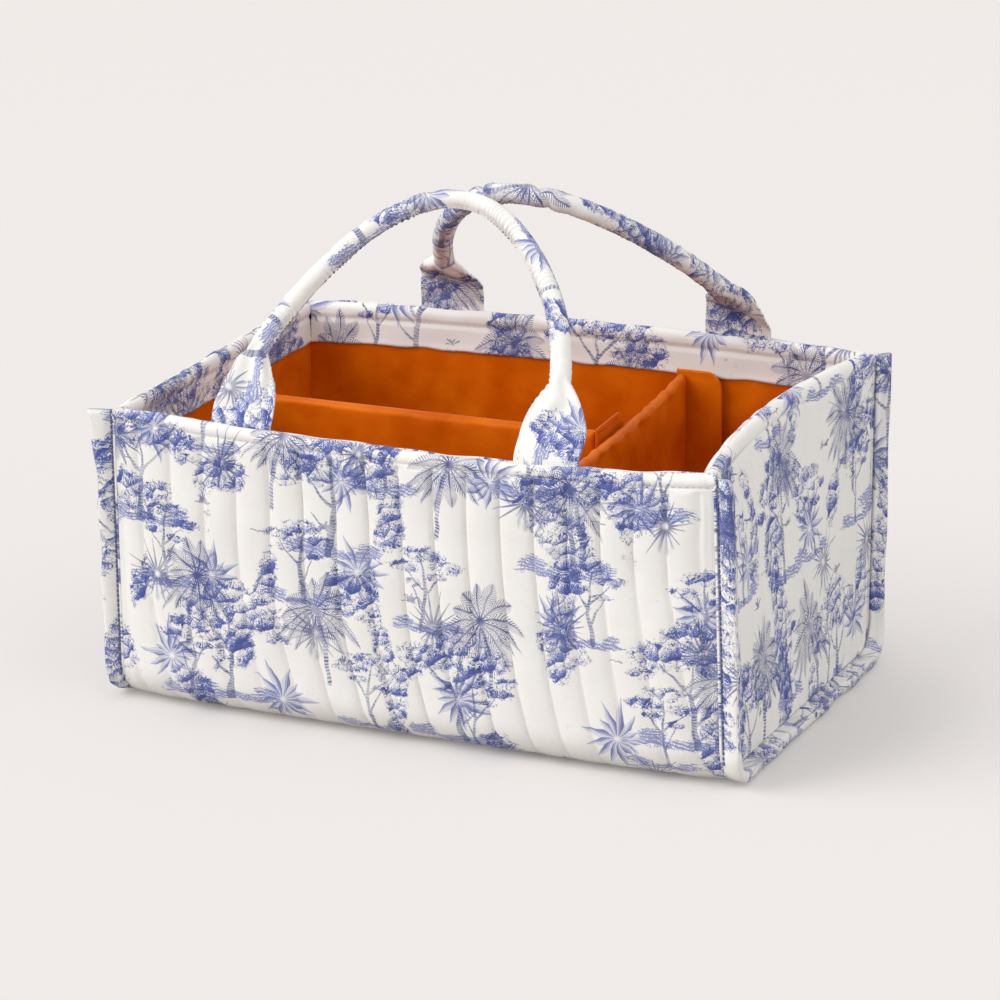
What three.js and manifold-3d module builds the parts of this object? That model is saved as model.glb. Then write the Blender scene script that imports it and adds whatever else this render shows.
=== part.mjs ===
// Fabric storage basket with two soft handles and two lift-out dividers.
// Millimetres, +Z up, +X along the long side, the front is -Y, the floor is z = 0.
import * as THREE from 'three';
import Module from 'manifold-3d';

const wasm = await Module();
wasm.setup();

// Overall size over the corner seams
const overallLength = 381;
const overallDepth = 254;
const wallHeight = 178;

// Corner seams: the pinched, topstitched edges where the end panels join the wrap
const seamReach = 9;
const seamThickness = 3.5;
const baseRadius = 22;

// Layers of a wall, from outside to inside
const outerThickness = 2;
const paddingThickness = 4.5;
const liningThickness = 1.2;
const boardThickness = 2.5;
const layerGap = 0.35;
const cornerGap = 0.25;
const facingHeight = 24;

// Handles
const tabSpacing = 184;
const tabWidth = 42;
const tabThickness = 2;
const tubeDiameter = 12;
const handleClothThickness = 0.9;
const cordGap = 0.8;
const seamSlit = 0.6;
const frontTabLength = 31;
const frontNeckLength = 27;
const frontHandleRise = 155.5;
const frontTilt = 44;
const frontHandleShift = -9.5;
const frontHandleLean = -8;
const backTabLength = 13;
const backNeckLength = 26;
const backHandleRise = 145;
const backTilt = 55;
const backHandleShift = 7.5;
const backHandleLean = 5;

// Sewn-in ends of the handle tabs: the back ones stand up above the rim before the handle folds
const rootDepth = 13;
const rootThickness = 2;
const frontRootRise = 1;
const backRootRise = 17;
const rootClearance = 0.35;
const foldGap = 1.7;

// Dividers
const crossPosition = 68;
const crossHeight = 158;
const crossSag = 7.5;
const cornerEase = 3.5;
const longPosition = 4;
const longHeight = 154;
const coreThickness = 5;
const dividerCloth = 1;
const flapThickness = 1.4;
const crossFlapWidth = 25;
const crossFlapRise = 3;
const longFlapWidth = 36;
const longFlapRise = 2;
const flapFoot = 6;
const flapRound = 10;
const stripThickness = 1;
const stripGap = 0.8;
const stripWidth = 18;
const stripInset = 1.5;
const stripBottom = 35;
const crossStripTop = 145;
const longStripTop = 133;

// How the soft walls stand: lean, bow, bulge and the uneven rim
const rightLean = 7;
const rightBow = 16;
const leftLean = 2;
const wallBulge = 6;
const frontSag = 9;
const frontCornerRise = 5.5;
const frontSlope = 1.5;
const backLift = 9.5;
const backCornerDrop = 3.5;
const backSlope = 2.5;

const halfLength = overallLength / 2 - seamReach * Math.SQRT1_2;
const halfDepth = overallDepth / 2 - seamReach * Math.SQRT1_2;
const paddingStart = outerThickness + layerGap;
const paddingEnd = paddingStart + paddingThickness;
const liningStart = paddingEnd + layerGap;
const wallThickness = liningStart + liningThickness;
const crestRadius = wallThickness / 2;
const boardBottom = paddingEnd + layerGap;
const floorLining = boardBottom + boardThickness + layerGap;
const insideFloor = floorLining + liningThickness;
const liningRadius = baseRadius - liningStart;
const crossCorner = liningRadius + cornerEase;
const crestSlit = 0.3;
const tubeRadius = tubeDiameter / 2;
const dividerThickness = coreThickness + 2 * dividerCloth + 2 * layerGap;
const dividerBottom = insideFloor + layerGap;
const wallStack = wallThickness + 2 * layerGap + stripGap + 2 * stripThickness + flapThickness;

const printed = { color: 0xe9e9ee, roughness: 0.9, metalness: 0 };
const rust = { color: 0xb8590f, roughness: 0.55, metalness: 0 };
const foam = { color: 0xf1efe9, roughness: 0.95, metalness: 0 };
const card = { color: 0xb9a98c, roughness: 0.85, metalness: 0 };
const fastener = { color: 0xa44c0c, roughness: 0.95, metalness: 0 };

const clamp = (value, low, high) => Math.min(high, Math.max(low, value));
const mix = (a, b, t) => a + (b - a) * t;

// Even steps from a to b, both ends included
function steps(a, b, count) {
  return Array.from({ length: count + 1 }, (_, i) => mix(a, b, i / count));
}

// The stance of the soft basket: takes a point of the straight basket to its real place
function stand([x, y, z]) {
  const a = clamp(x / halfLength, -1, 1);
  const b = clamp(y / halfDepth, -1, 1);
  const h = clamp(z / wallHeight, 0, 1.05);
  const alongX = Math.min(1, Math.abs(a) / 0.92) ** 2.5;
  const alongY = Math.min(1, Math.abs(b) / 0.9) ** 2.5;
  const right = -(rightLean * (1 - b) / 2 * h + rightBow * (1 - b * b) * h ** 1.3);
  const left = -leftLean * h;
  const bulge = wallBulge * (1 - a ** 8) * (0.9 + 0.1 * Math.sin(Math.PI * h) - 0.3 * h * h);
  const front = -frontSag + frontCornerRise * a * a + frontSlope * a ** 3;
  const back = backLift - backCornerDrop * a * a + backSlope * a;
  return [
    x + alongX * (a > 0 ? right : left),
    y + Math.sign(b) * alongY * bulge,
    z + h * mix(front, back, (b + 1) / 2),
  ];
}

// Joins indexed triangles into one outward-facing geometry
function solid(points, triangles) {
  let volume = 0;
  for (const [i, j, k] of triangles) {
    const [p, q, r] = [points[i], points[j], points[k]];
    volume += p[0] * (q[1] * r[2] - q[2] * r[1])
      + p[1] * (q[2] * r[0] - q[0] * r[2])
      + p[2] * (q[0] * r[1] - q[1] * r[0]);
  }
  const index = triangles.flatMap(([i, j, k]) => (volume > 0 ? [i, j, k] : [i, k, j]));
  const geometry = new THREE.BufferGeometry();
  geometry.setAttribute('position', new THREE.Float32BufferAttribute(points.flat(), 3));
  geometry.setIndex(index);
  geometry.computeVertexNormals();
  return geometry;
}

// A sheet of cloth or board: two grids of points, face and back, closed round the edge
function sheet(face, back) {
  const rows = face.length;
  const columns = face[0].length;
  const points = [...face.flat(), ...back.flat()];
  const at = (side, i, j) => side * rows * columns + i * columns + j;
  const triangles = [];
  const quad = (a, b, c, d) => triangles.push([a, b, c], [a, c, d]);
  for (let i = 0; i < rows - 1; i += 1) {
    for (let j = 0; j < columns - 1; j += 1) {
      quad(at(0, i, j), at(0, i + 1, j), at(0, i + 1, j + 1), at(0, i, j + 1));
      quad(at(1, i, j), at(1, i, j + 1), at(1, i + 1, j + 1), at(1, i + 1, j));
    }
    quad(at(0, i + 1, 0), at(0, i, 0), at(1, i, 0), at(1, i + 1, 0));
    quad(at(0, i, columns - 1), at(0, i + 1, columns - 1), at(1, i + 1, columns - 1), at(1, i, columns - 1));
  }
  for (let j = 0; j < columns - 1; j += 1) {
    quad(at(0, 0, j), at(0, 0, j + 1), at(1, 0, j + 1), at(1, 0, j));
    quad(at(0, rows - 1, j + 1), at(0, rows - 1, j), at(1, rows - 1, j), at(1, rows - 1, j + 1));
  }
  return solid(points, triangles);
}

// A bar: rings of points joined one after another, closed by a fan at both ends
function bar(rings) {
  const count = rings[0].length;
  const points = rings.flat();
  const triangles = [];
  for (let i = 0; i < rings.length - 1; i += 1) {
    for (let j = 0; j < count; j += 1) {
      const k = (j + 1) % count;
      const [a, b] = [i * count, (i + 1) * count];
      triangles.push([a + j, b + j, b + k], [a + j, b + k, a + k]);
    }
  }
  for (const [ring, turned] of [[0, false], [rings.length - 1, true]]) {
    const middle = [0, 1, 2].map((n) => rings[ring].reduce((sum, p) => sum + p[n], 0) / count);
    points.push(middle);
    for (let j = 0; j < count; j += 1) {
      const a = ring * count + j;
      const b = ring * count + (j + 1) % count;
      triangles.push(turned ? [points.length - 1, b, a] : [points.length - 1, a, b]);
    }
  }
  return solid(points, triangles);
}

function toManifold(geometry) {
  const mesh = new wasm.Mesh({
    numProp: 3,
    vertProperties: geometry.attributes.position.array,
    triVerts: new Uint32Array(geometry.index.array),
  });
  return new wasm.Manifold(mesh);
}

// Cuts the tools out of a geometry
function cut(geometry, tools) {
  let body = toManifold(geometry);
  for (const tool of tools) {
    body = body.subtract(toManifold(tool));
  }
  const mesh = body.getMesh();
  const result = new THREE.BufferGeometry();
  result.setAttribute('position', new THREE.Float32BufferAttribute(mesh.vertProperties, 3));
  result.setIndex(Array.from(mesh.triVerts));
  result.computeVertexNormals();
  return result;
}

function part(group, name, geometry, look) {
  const mesh = new THREE.Mesh(geometry, new THREE.MeshStandardMaterial(look));
  mesh.name = name;
  group.add(mesh);
}

// Where along the length and the depth every wall layer has its columns
const lengthStations = [-1, -0.95, -0.87, ...steps(-0.75, 0.75, 8), 0.87, 0.95, 1];
const wallHeights = steps(0, 1, 5);
const bendSteps = 3;

// One side of the wrap seen from the end, from the rim down to the middle of the floor:
// depth and height of each point, and how far in from the outer face it lies
function wrapSide({ offset, top, rounded, floor, radius, start = 0 }) {
  const wallY = halfDepth - start - offset;
  const floorZ = floor + offset;
  const corner = radius - offset;
  const list = [];
  if (rounded) {
    const bend = crestRadius - offset;
    const from = Math.acos(crestSlit / 2 / bend);
    for (const angle of steps(from, 0, 3).slice(0, 3)) {
      const y = halfDepth - crestRadius + bend * Math.cos(angle);
      list.push([y, wallHeight - crestRadius + bend * Math.sin(angle), halfDepth - y]);
    }
  }
  for (const t of wallHeights) {
    list.push([wallY, mix(top, floorZ + corner, t), offset]);
  }
  for (const angle of steps(0, Math.PI / 2, bendSteps).slice(1)) {
    const y = wallY - corner + corner * Math.cos(angle);
    list.push([y, floorZ + corner - corner * Math.sin(angle), offset]);
  }
  for (const t of [0.45, 0]) {
    list.push([(wallY - corner) * t, floorZ, offset]);
  }
  return list;
}

// A layer that runs down the front, under the floor and up the back in one piece
function wrapLayer({ thickness, start, ...shape }) {
  const grid = (offset) => {
    const side = wrapSide({ ...shape, start, offset });
    const front = side.map(([y, z, inset]) => [-y, z, inset]);
    const profile = [...front, ...side.slice(0, -1).reverse()];
    return profile.map(([y, z, inset]) => lengthStations.map((n) => {
      const reach = halfLength - start - inset - cornerGap;
      return stand([n * reach, y, z]);
    }));
  };
  return sheet(grid(0), grid(thickness));
}

// Columns of an end layer that reaches so far from the middle: close together round the
// base corners, even between them
function endColumns(reach) {
  const flat = halfDepth - baseRadius;
  const bend = steps(Math.PI / 2, 0, bendSteps).slice(0, -1).map((angle) => mix(flat, reach, Math.sin(angle)));
  return [...bend, ...steps(flat, -flat, 10), ...bend.map((y) => -y).reverse()];
}

// A layer of an end wall; side is -1 for the left end and 1 for the right end
function endLayer({ side, thickness, start, floor, radius, top, rounded }) {
  const grid = (offset) => {
    const half = halfDepth - start - offset - cornerGap;
    const corner = radius - offset - cornerGap;
    const floorZ = floor + offset + cornerGap;
    const rise = (y) => {
      const past = Math.max(0, Math.abs(y) - (half - corner));
      return corner - Math.sqrt(Math.max(0, corner * corner - past * past));
    };
    const columns = endColumns(half);
    const rows = wallHeights.map((t) => columns.map((y) => {
      const z = mix(floorZ + rise(y), top, t);
      return stand([side * (halfLength - start - offset), y, z]);
    }));
    if (rounded) {
      const bend = crestRadius - offset;
      const last = Math.acos(crestSlit / 2 / bend);
      for (const angle of steps(0, last, 3).slice(1)) {
        const x = halfLength - crestRadius + bend * Math.cos(angle);
        const reach = halfDepth - (halfLength - x) - cornerGap;
        const z = wallHeight - crestRadius + bend * Math.sin(angle);
        rows.push(endColumns(reach).map((y) => stand([side * x, y, z])));
      }
    }
    return rows;
  };
  return sheet(grid(0), grid(thickness));
}

// The printed band inside the rim: from the crest over the inner edge, then straight down
function facingProfile(offset) {
  const bend = offset - crestRadius;
  const from = Math.acos(crestSlit / 2 / bend);
  const arc = steps(from, 0, 3).map((angle) => [
    crestRadius + bend * Math.cos(angle),
    wallHeight - crestRadius + bend * Math.sin(angle),
  ]);
  return [...arc, [offset, wallHeight - facingHeight * 0.6], [offset, wallHeight - facingHeight]];
}

function facingAlongLength(side) {
  const grid = (offset) => facingProfile(offset).map(([inset, z]) => lengthStations.map((n) => {
    const reach = halfLength - inset - cornerGap;
    return stand([n * reach, side * (halfDepth - inset), z]);
  }));
  return sheet(grid(liningStart), grid(wallThickness));
}

function facingAlongDepth(side) {
  const grid = (offset) => facingProfile(offset).map(([inset, z]) => {
    const reach = halfDepth - inset - cornerGap;
    return endColumns(reach).map((y) => stand([side * (halfLength - inset), y, z]));
  });
  return sheet(grid(liningStart), grid(wallThickness));
}

// Cross-section of a corner seam, beside the corner it hugs (out of the end, out of the wrap);
// turn 0 stands out diagonally, turn 1 lies flat beside the floor
function seamSection(turn) {
  const half = seamThickness / 2;
  const lean = Math.PI / 4 * (1 - turn);
  const drop = (half + 0.25) * turn ** 3;
  const out = (along, across) => [
    along * Math.cos(lean) - across * Math.sin(lean),
    along * Math.sin(lean) + across * Math.cos(lean),
  ];
  const beside = mix(layerGap, 0.4, turn);
  const behind = layerGap - half * Math.SQRT2;
  const high = [mix(behind, beside, turn), mix(layerGap, half, turn) - drop];
  const edge = [
    out(seamReach - 0.8, half),
    out(seamReach, half * 0.5),
    out(seamReach, -half * 0.5),
    out(seamReach - 0.8, -half),
  ].map(([x, n]) => [x, n - drop]);
  const low = [beside, mix(behind, -half, turn) - drop];
  const notch = [beside, Math.min(layerGap, high[1] - 0.35 * turn)];
  return [notch, high, ...edge, low];
}

// The pinched seam round one end: down the front corner, along the floor, up the back corner
function cornerSeam(side) {
  const top = wallHeight - 1;
  const path = [];
  for (const t of wallHeights) {
    path.push([halfDepth, mix(top, baseRadius, t), 0]);
  }
  for (const angle of steps(0, Math.PI / 2, bendSteps).slice(1)) {
    path.push([halfDepth - baseRadius * (1 - Math.cos(angle)), baseRadius * (1 - Math.sin(angle)), angle]);
  }
  for (const t of [0.6, 0.2]) {
    path.push([(halfDepth - baseRadius) * t, 0, Math.PI / 2]);
  }
  const mirrored = [...path].reverse();
  const ring = (back, [y, z, angle]) => seamSection(Math.sin(angle)).map(([x, n]) => stand([
    side * (halfLength + x),
    back * (y + n * Math.cos(angle)),
    z - n * Math.sin(angle),
  ]));
  return bar([...path.map((p) => ring(-1, p)), ...mirrored.map((p) => ring(1, p))]);
}

// The stiff board in the base, under the floor lining
function baseBoard() {
  const width = halfLength - liningStart - 2;
  const depth = halfDepth - baseRadius - 2;
  const grid = (z) => steps(-1, 1, 2).map((v) => lengthStations.map((u) => stand([u * width, v * depth, z])));
  return sheet(grid(boardBottom), grid(boardBottom + boardThickness));
}

// Middle of one handle foot on the straight basket; end is -1 for left and 1 for right
function footX(shift, end) {
  return shift + end * tabSpacing / 2;
}

// The sewn-in end of a handle tab, inside the rim; grown by a clearance it is the slot's shape
function handleRoot({ back, x, rise }, clearance) {
  const wide = tabWidth / 2 + clearance;
  const half = rootThickness / 2 + clearance;
  const heights = steps(wallHeight - rootDepth - clearance, wallHeight + rise + clearance, 2);
  const grid = (y) => heights.map((z) => steps(x - wide, x + wide, 4).map((px) => stand([px, y, z])));
  const middle = back * (halfDepth - crestRadius);
  return sheet(grid(middle - half), grid(middle + half));
}

// Half of each handle's outline as shares of the foot distance and of the rise
const frontOutline = [
  [1, 0], [1, 0.1], [0.99, 0.2], [0.97, 0.3], [0.935, 0.4], [0.885, 0.5],
  [0.81, 0.6], [0.71, 0.7], [0.59, 0.8], [0.42, 0.9], [0.215, 0.975],
];
const backOutline = [
  [1, 0], [1, 0.07], [0.975, 0.14], [0.935, 0.22], [0.885, 0.33],
  [0.81, 0.465], [0.71, 0.6], [0.59, 0.73], [0.42, 0.866], [0.215, 0.967],
];

// Centre line of a handle in its own plane, from the left foot over the top to the right foot
function handlePath({ outline, rise }) {
  const left = outline.map(([u, v]) => new THREE.Vector3(-u * tabSpacing / 2, v * rise, 0));
  const right = outline.map(([u, v]) => new THREE.Vector3(u * tabSpacing / 2, v * rise, 0));
  return new THREE.CatmullRomCurve3([...left, new THREE.Vector3(0, rise, 0), ...right.reverse()]);
}

// Stations along a handle: tabs, gathered necks and the tube between them
function handleStations({ tab, neck }, length) {
  const flat = [0, tab * 0.5, tab];
  const gathered = [0.3, 0.6, 0.85, 1].map((t) => tab + neck * t);
  const start = [...flat, ...gathered];
  const tube = steps(tab + neck, length - tab - neck, 14).slice(1, -1);
  return [...start, ...tube, ...start.map((d) => length - d).reverse()];
}

// Half width, half thickness and squareness of the handle at a distance from its nearer foot
function handleSection({ tab, neck }, distance) {
  const t = clamp((distance - tab) / neck, 0, 1);
  const eased = t * t * (3 - 2 * t);
  return {
    wide: mix(tabWidth / 2, tubeRadius, (t + eased) / 2),
    thick: mix(tabThickness / 2, tubeRadius, eased),
    square: mix(0.4, 1, eased),
  };
}

// Places a point of the handle's own plane into the basket. The handle turns on a line a
// little above its sewn-in tabs, through both of its feet, and leans inward from there
function placeHandle({ back, shift, tilt, leanAside, rise: top, rootRise }) {
  const [left, right] = [-1, 1].map((end) => new THREE.Vector3(
    ...stand([footX(shift, end), back * (halfDepth - crestRadius), wallHeight]),
  ));
  const middle = left.clone().lerp(right, 0.5).add(new THREE.Vector3(0, 0, rootRise + foldGap));
  const across = right.clone().sub(left).normalize();
  const inward = new THREE.Vector3(0, 0, -back).cross(across).normalize();
  const rise = across.clone().cross(inward).multiplyScalar(-back).normalize();
  const angle = tilt * Math.PI / 180;
  const up = rise.clone().multiplyScalar(Math.cos(angle)).addScaledVector(inward, Math.sin(angle));
  const out = rise.clone().multiplyScalar(Math.sin(angle)).addScaledVector(inward, -Math.cos(angle));
  return (u, v, w) => middle.clone()
    .addScaledVector(across, u + leanAside * Math.max(0, v / top - 0.1))
    .addScaledVector(up, v)
    .addScaledVector(out, w)
    .toArray();
}

// Builds grids round the centre line; shrink takes cloth thickness off the outside
function handleGrid(shape, stations, shrink, open) {
  const path = handlePath(shape);
  const place = placeHandle(shape);
  const length = path.getLength();
  const count = 8;
  return stations.map((distance) => {
    const at = path.getPointAt(distance / length);
    const along = path.getTangentAt(distance / length);
    const { wide, thick, square } = handleSection(shape, Math.min(distance, length - distance));
    const [p, q] = [wide - shrink, thick - shrink];
    const from = open ? Math.asin(Math.min(0.9, seamSlit / 2 / q)) ** (1 / square) : 0;
    const angles = open ? steps(from, 2 * Math.PI - from, count) : steps(0, 2 * Math.PI, 7).slice(0, -1);
    return angles.map((angle) => {
      const c = Math.cos(angle);
      const s = Math.sin(angle);
      const n = p * Math.sign(c) * Math.abs(c) ** square;
      const w = q * Math.sign(s) * Math.abs(s) ** square;
      return place(at.x + n * along.y, at.y - n * along.x, w);
    });
  });
}

// The handle's cloth: flat tabs at both feet that gather into a tube with its seam slit inside
function handleCover(shape) {
  const stations = handleStations(shape, handlePath(shape).getLength());
  return sheet(handleGrid(shape, stations, 0, true), handleGrid(shape, stations, handleClothThickness, true));
}

// The soft cord that fills the tube between the two necks
function handleCord(shape) {
  const length = handlePath(shape).getLength();
  const first = shape.tab + shape.neck;
  const stations = steps(first, length - first, 14);
  return bar(handleGrid(shape, stations, handleClothThickness + cordGap, false));
}

// A divider standing on the floor lining. The place function takes along, across and height
function dividerCover({ from, to, top, foot, endBend, place }) {
  const half = dividerThickness / 2;
  const bottom = (along) => dividerBottom + foot(along);
  const grid = (offset) => {
    const bend = half - offset;
    const straight = steps(0, 1, 3).slice(0, -1);
    const profile = [
      ...straight.map((t) => (along) => [-bend, mix(bottom(along), top - half, t)]),
      ...steps(Math.PI, 0, 3).map((angle) => () => [bend * Math.cos(angle), top - half + bend * Math.sin(angle)]),
      ...straight.map((t) => (along) => [bend, mix(bottom(along), top - half, t)]).reverse(),
    ];
    const columns = dividerColumns(from, to, endBend);
    return profile.map((at) => columns.map((along) => place(along, ...at(along))));
  };
  return sheet(grid(0), grid(dividerCloth));
}

function dividerCore({ from, to, top, foot, endBend, place }) {
  const half = coreThickness / 2;
  const bottom = (along) => dividerBottom + 1 + foot(along);
  const columns = dividerColumns(from + 1, to - 1, endBend);
  const grid = (across) => steps(0, 1, 3).map((t) => columns.map((along) => (
    place(along, across, mix(bottom(along), top - half - dividerCloth, t)))));
  return sheet(grid(-half), grid(half));
}

// Columns of a divider: even, or closer together at ends that clear the rounded base corners
function dividerColumns(from, to, endBend) {
  if (!endBend) {
    return steps(from, to, 8);
  }
  const bend = [0, 0.2, 0.55].map((t) => t * endBend);
  const middle = steps(from + endBend, to - endBend, 7);
  return [...bend.map((d) => from + d), ...middle, ...bend.map((d) => to - d).reverse()];
}

// A flat upright piece with rounded corners: a flap or a fastener strip
function uprightPlate({ from, to, bottom, top, near, far, round, place }) {
  const d = Math.sign(to - from);
  const inset = (z) => {
    const past = Math.max(0, round - (top - z), round - (z - bottom));
    return round - Math.sqrt(Math.max(0, round * round - past * past));
  };
  const bends = round > 0 ? [0.2, 1].map((t) => round * t) : [];
  const heights = [
    bottom, ...bends.map((r) => bottom + r),
    ...steps(bottom + round, top - round, 4).slice(1, -1),
    ...bends.map((r) => top - r).reverse(), top,
  ];
  const grid = (depth) => heights.map((z) => [0, 0.5, 1].map((t) => (
    place(mix(from, to - d * inset(z), t), depth, z))));
  return sheet(grid(near), grid(far));
}

// How far the foot of the cross divider rises to clear the lining's rounded base corners
function crossFoot(along) {
  const past = Math.max(0, Math.abs(along) - (halfDepth - wallThickness - layerGap - crossCorner));
  return crossCorner - Math.sqrt(Math.max(0, crossCorner * crossCorner - past * past));
}

// Places the divider across the basket, with the sag of its soft top edge
function crossPlace(along, across, z) {
  const b = along / halfDepth;
  const lowered = crossSag * (1 - Math.abs(b) ** 3) * (z - dividerBottom) / (crossHeight - dividerBottom);
  return stand([crossPosition + across, along, z - lowered]);
}

function longPlace(along, across, z) {
  return stand([along, longPosition + across, z]);
}

const basket = new THREE.Group();
basket.name = 'fabric_storage_basket';

const outerShape = { floor: 0, radius: baseRadius, start: 0 };
const paddingShape = { floor: paddingStart, radius: baseRadius - paddingStart, start: paddingStart };
const liningShape = { floor: floorLining, radius: liningRadius, start: liningStart };
const crestTop = wallHeight - crestRadius;
const liningTop = wallHeight - facingHeight - layerGap;

const feet = [
  { name: 'front_left', back: -1, x: footX(frontHandleShift, -1), rise: frontRootRise },
  { name: 'front_right', back: -1, x: footX(frontHandleShift, 1), rise: frontRootRise },
  { name: 'back_left', back: 1, x: footX(backHandleShift, -1), rise: backRootRise },
  { name: 'back_right', back: 1, x: footX(backHandleShift, 1), rise: backRootRise },
];
const allSlots = feet.map((foot) => handleRoot(foot, rootClearance));

// Outer printed cloth
const outerWrap = wrapLayer({ ...outerShape, thickness: outerThickness, top: crestTop, rounded: true });
part(basket, 'outer_wrap', cut(outerWrap, allSlots), printed);
for (const [name, side] of [['left', -1], ['right', 1]]) {
  const shape = { ...outerShape, side, thickness: outerThickness, top: crestTop, rounded: true };
  part(basket, `outer_end_${name}`, endLayer(shape), printed);
  part(basket, `corner_seam_${name}`, cornerSeam(side), printed);
}

// Padding between the outer cloth and the lining, and the board in the base
const paddingTop = crestTop - layerGap;
const paddingWrap = wrapLayer({ ...paddingShape, thickness: paddingThickness, top: paddingTop });
part(basket, 'padding_wrap', cut(paddingWrap, allSlots), foam);
for (const [name, side] of [['left', -1], ['right', 1]]) {
  const shape = { ...paddingShape, side, thickness: paddingThickness, top: paddingTop };
  part(basket, `padding_end_${name}`, endLayer(shape), foam);
}
part(basket, 'base_board', baseBoard(), card);

// Lining, and the printed facing above it inside the rim
part(basket, 'lining_wrap', wrapLayer({ ...liningShape, thickness: liningThickness, top: liningTop }), rust);
for (const [name, side] of [['left', -1], ['right', 1]]) {
  const shape = { ...liningShape, side, thickness: liningThickness, top: liningTop };
  part(basket, `lining_end_${name}`, endLayer(shape), rust);
  part(basket, `facing_${name}`, facingAlongDepth(side), printed);
}
part(basket, 'facing_front', cut(facingAlongLength(-1), allSlots.slice(0, 2)), printed);
part(basket, 'facing_back', cut(facingAlongLength(1), allSlots.slice(2)), printed);
for (const foot of feet) {
  part(basket, `handle_root_${foot.name}`, handleRoot(foot, 0), printed);
}

// Loop strips sewn to the lining, where the divider flaps hold
const insideY = halfDepth - wallThickness;
const insideX = halfLength - wallThickness;
const loopNear = layerGap;
const loopFar = loopNear + stripThickness;
const hookNear = loopFar + stripGap;
const hookFar = hookNear + stripThickness;
const flapNear = hookFar + layerGap;
const flapFar = flapNear + flapThickness;
const stripStart = dividerThickness / 2 + stripInset;
const strip = { bottom: stripBottom, round: 0 };
const acrossWall = (side) => (along, depth, z) => stand([along, side * (insideY - depth), z]);
const leftWall = (along, depth, z) => stand([-(insideX - depth), along, z]);
const onCross = (along, depth, z) => stand([crossPosition - dividerThickness / 2 - depth, along, z]);
const crossStrip = {
  ...strip,
  from: crossPosition + stripStart,
  to: crossPosition + stripStart + stripWidth,
  top: crossStripTop,
};
const longStrip = {
  ...strip,
  from: longPosition + stripStart,
  to: longPosition + stripStart + stripWidth,
  top: longStripTop,
};
for (const [name, side] of [['front', -1], ['back', 1]]) {
  const loop = { ...crossStrip, near: loopNear, far: loopFar, place: acrossWall(side) };
  part(basket, `loop_strip_${name}`, uprightPlate(loop), fastener);
}
part(basket, 'loop_strip_left', uprightPlate({ ...longStrip, near: loopNear, far: loopFar, place: leftWall }), fastener);

// Handles
const frontHandle = {
  back: -1,
  shift: frontHandleShift,
  tilt: frontTilt,
  leanAside: frontHandleLean,
  outline: frontOutline,
  rise: frontHandleRise,
  tab: frontTabLength,
  neck: frontNeckLength,
  rootRise: frontRootRise,
};
const backHandle = {
  back: 1,
  shift: backHandleShift,
  tilt: backTilt,
  leanAside: backHandleLean,
  outline: backOutline,
  rise: backHandleRise,
  tab: backTabLength,
  neck: backNeckLength,
  rootRise: backRootRise,
};
for (const [name, shape] of [['front', frontHandle], ['back', backHandle]]) {
  const handle = new THREE.Group();
  handle.name = `handle_${name}`;
  part(handle, `handle_${name}_cover`, handleCover(shape), printed);
  part(handle, `handle_${name}_cord`, handleCord(shape), foam);
  basket.add(handle);
}

// Divider from the front wall to the back wall, its flaps and fasteners
const crossDivider = new THREE.Group();
crossDivider.name = 'cross_divider';
const crossReach = halfDepth - wallStack - layerGap;
const crossSize = {
  from: -crossReach,
  to: crossReach,
  top: crossHeight,
  foot: crossFoot,
  endBend: crossCorner,
  place: crossPlace,
};
part(crossDivider, 'cross_divider_cover', dividerCover(crossSize), rust);
part(crossDivider, 'cross_divider_core', dividerCore(crossSize), foam);
for (const [name, side] of [['front', -1], ['back', 1]]) {
  const place = acrossWall(side);
  const flap = {
    from: crossPosition - dividerThickness / 2,
    to: crossPosition + crossFlapWidth,
    bottom: dividerBottom + flapFoot,
    top: crossHeight + crossFlapRise,
    near: flapNear,
    far: flapFar,
    round: flapRound,
    place,
  };
  part(crossDivider, `cross_divider_flap_${name}`, uprightPlate(flap), rust);
  const hook = { ...crossStrip, near: hookNear, far: hookFar, place };
  part(crossDivider, `cross_divider_hook_${name}`, uprightPlate(hook), fastener);
}
const crossLoop = { ...longStrip, near: loopNear, far: loopFar, place: onCross };
part(crossDivider, 'cross_divider_loop', uprightPlate(crossLoop), fastener);
basket.add(crossDivider);

// Divider from the left end to the cross divider, its flaps and fasteners
const longDivider = new THREE.Group();
longDivider.name = 'long_divider';
const longSize = {
  from: -(insideX - flapFar - layerGap),
  to: crossPosition - dividerThickness / 2 - flapFar - layerGap,
  top: longHeight,
  foot: () => 0,
  endBend: 0,
  place: longPlace,
};
part(longDivider, 'long_divider_cover', dividerCover(longSize), rust);
part(longDivider, 'long_divider_core', dividerCore(longSize), foam);
for (const [name, place] of [['left', leftWall], ['right', onCross]]) {
  const flap = {
    from: longPosition - dividerThickness / 2,
    to: longPosition + longFlapWidth,
    bottom: dividerBottom + flapFoot,
    top: longHeight + longFlapRise,
    near: flapNear,
    far: flapFar,
    round: flapRound,
    place,
  };
  part(longDivider, `long_divider_flap_${name}`, uprightPlate(flap), rust);
  const hook = { ...longStrip, near: hookNear, far: hookFar, place };
  part(longDivider, `long_divider_hook_${name}`, uprightPlate(hook), fastener);
}
basket.add(longDivider);

export default basket;
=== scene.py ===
import math
from functools import partialmethod

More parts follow.
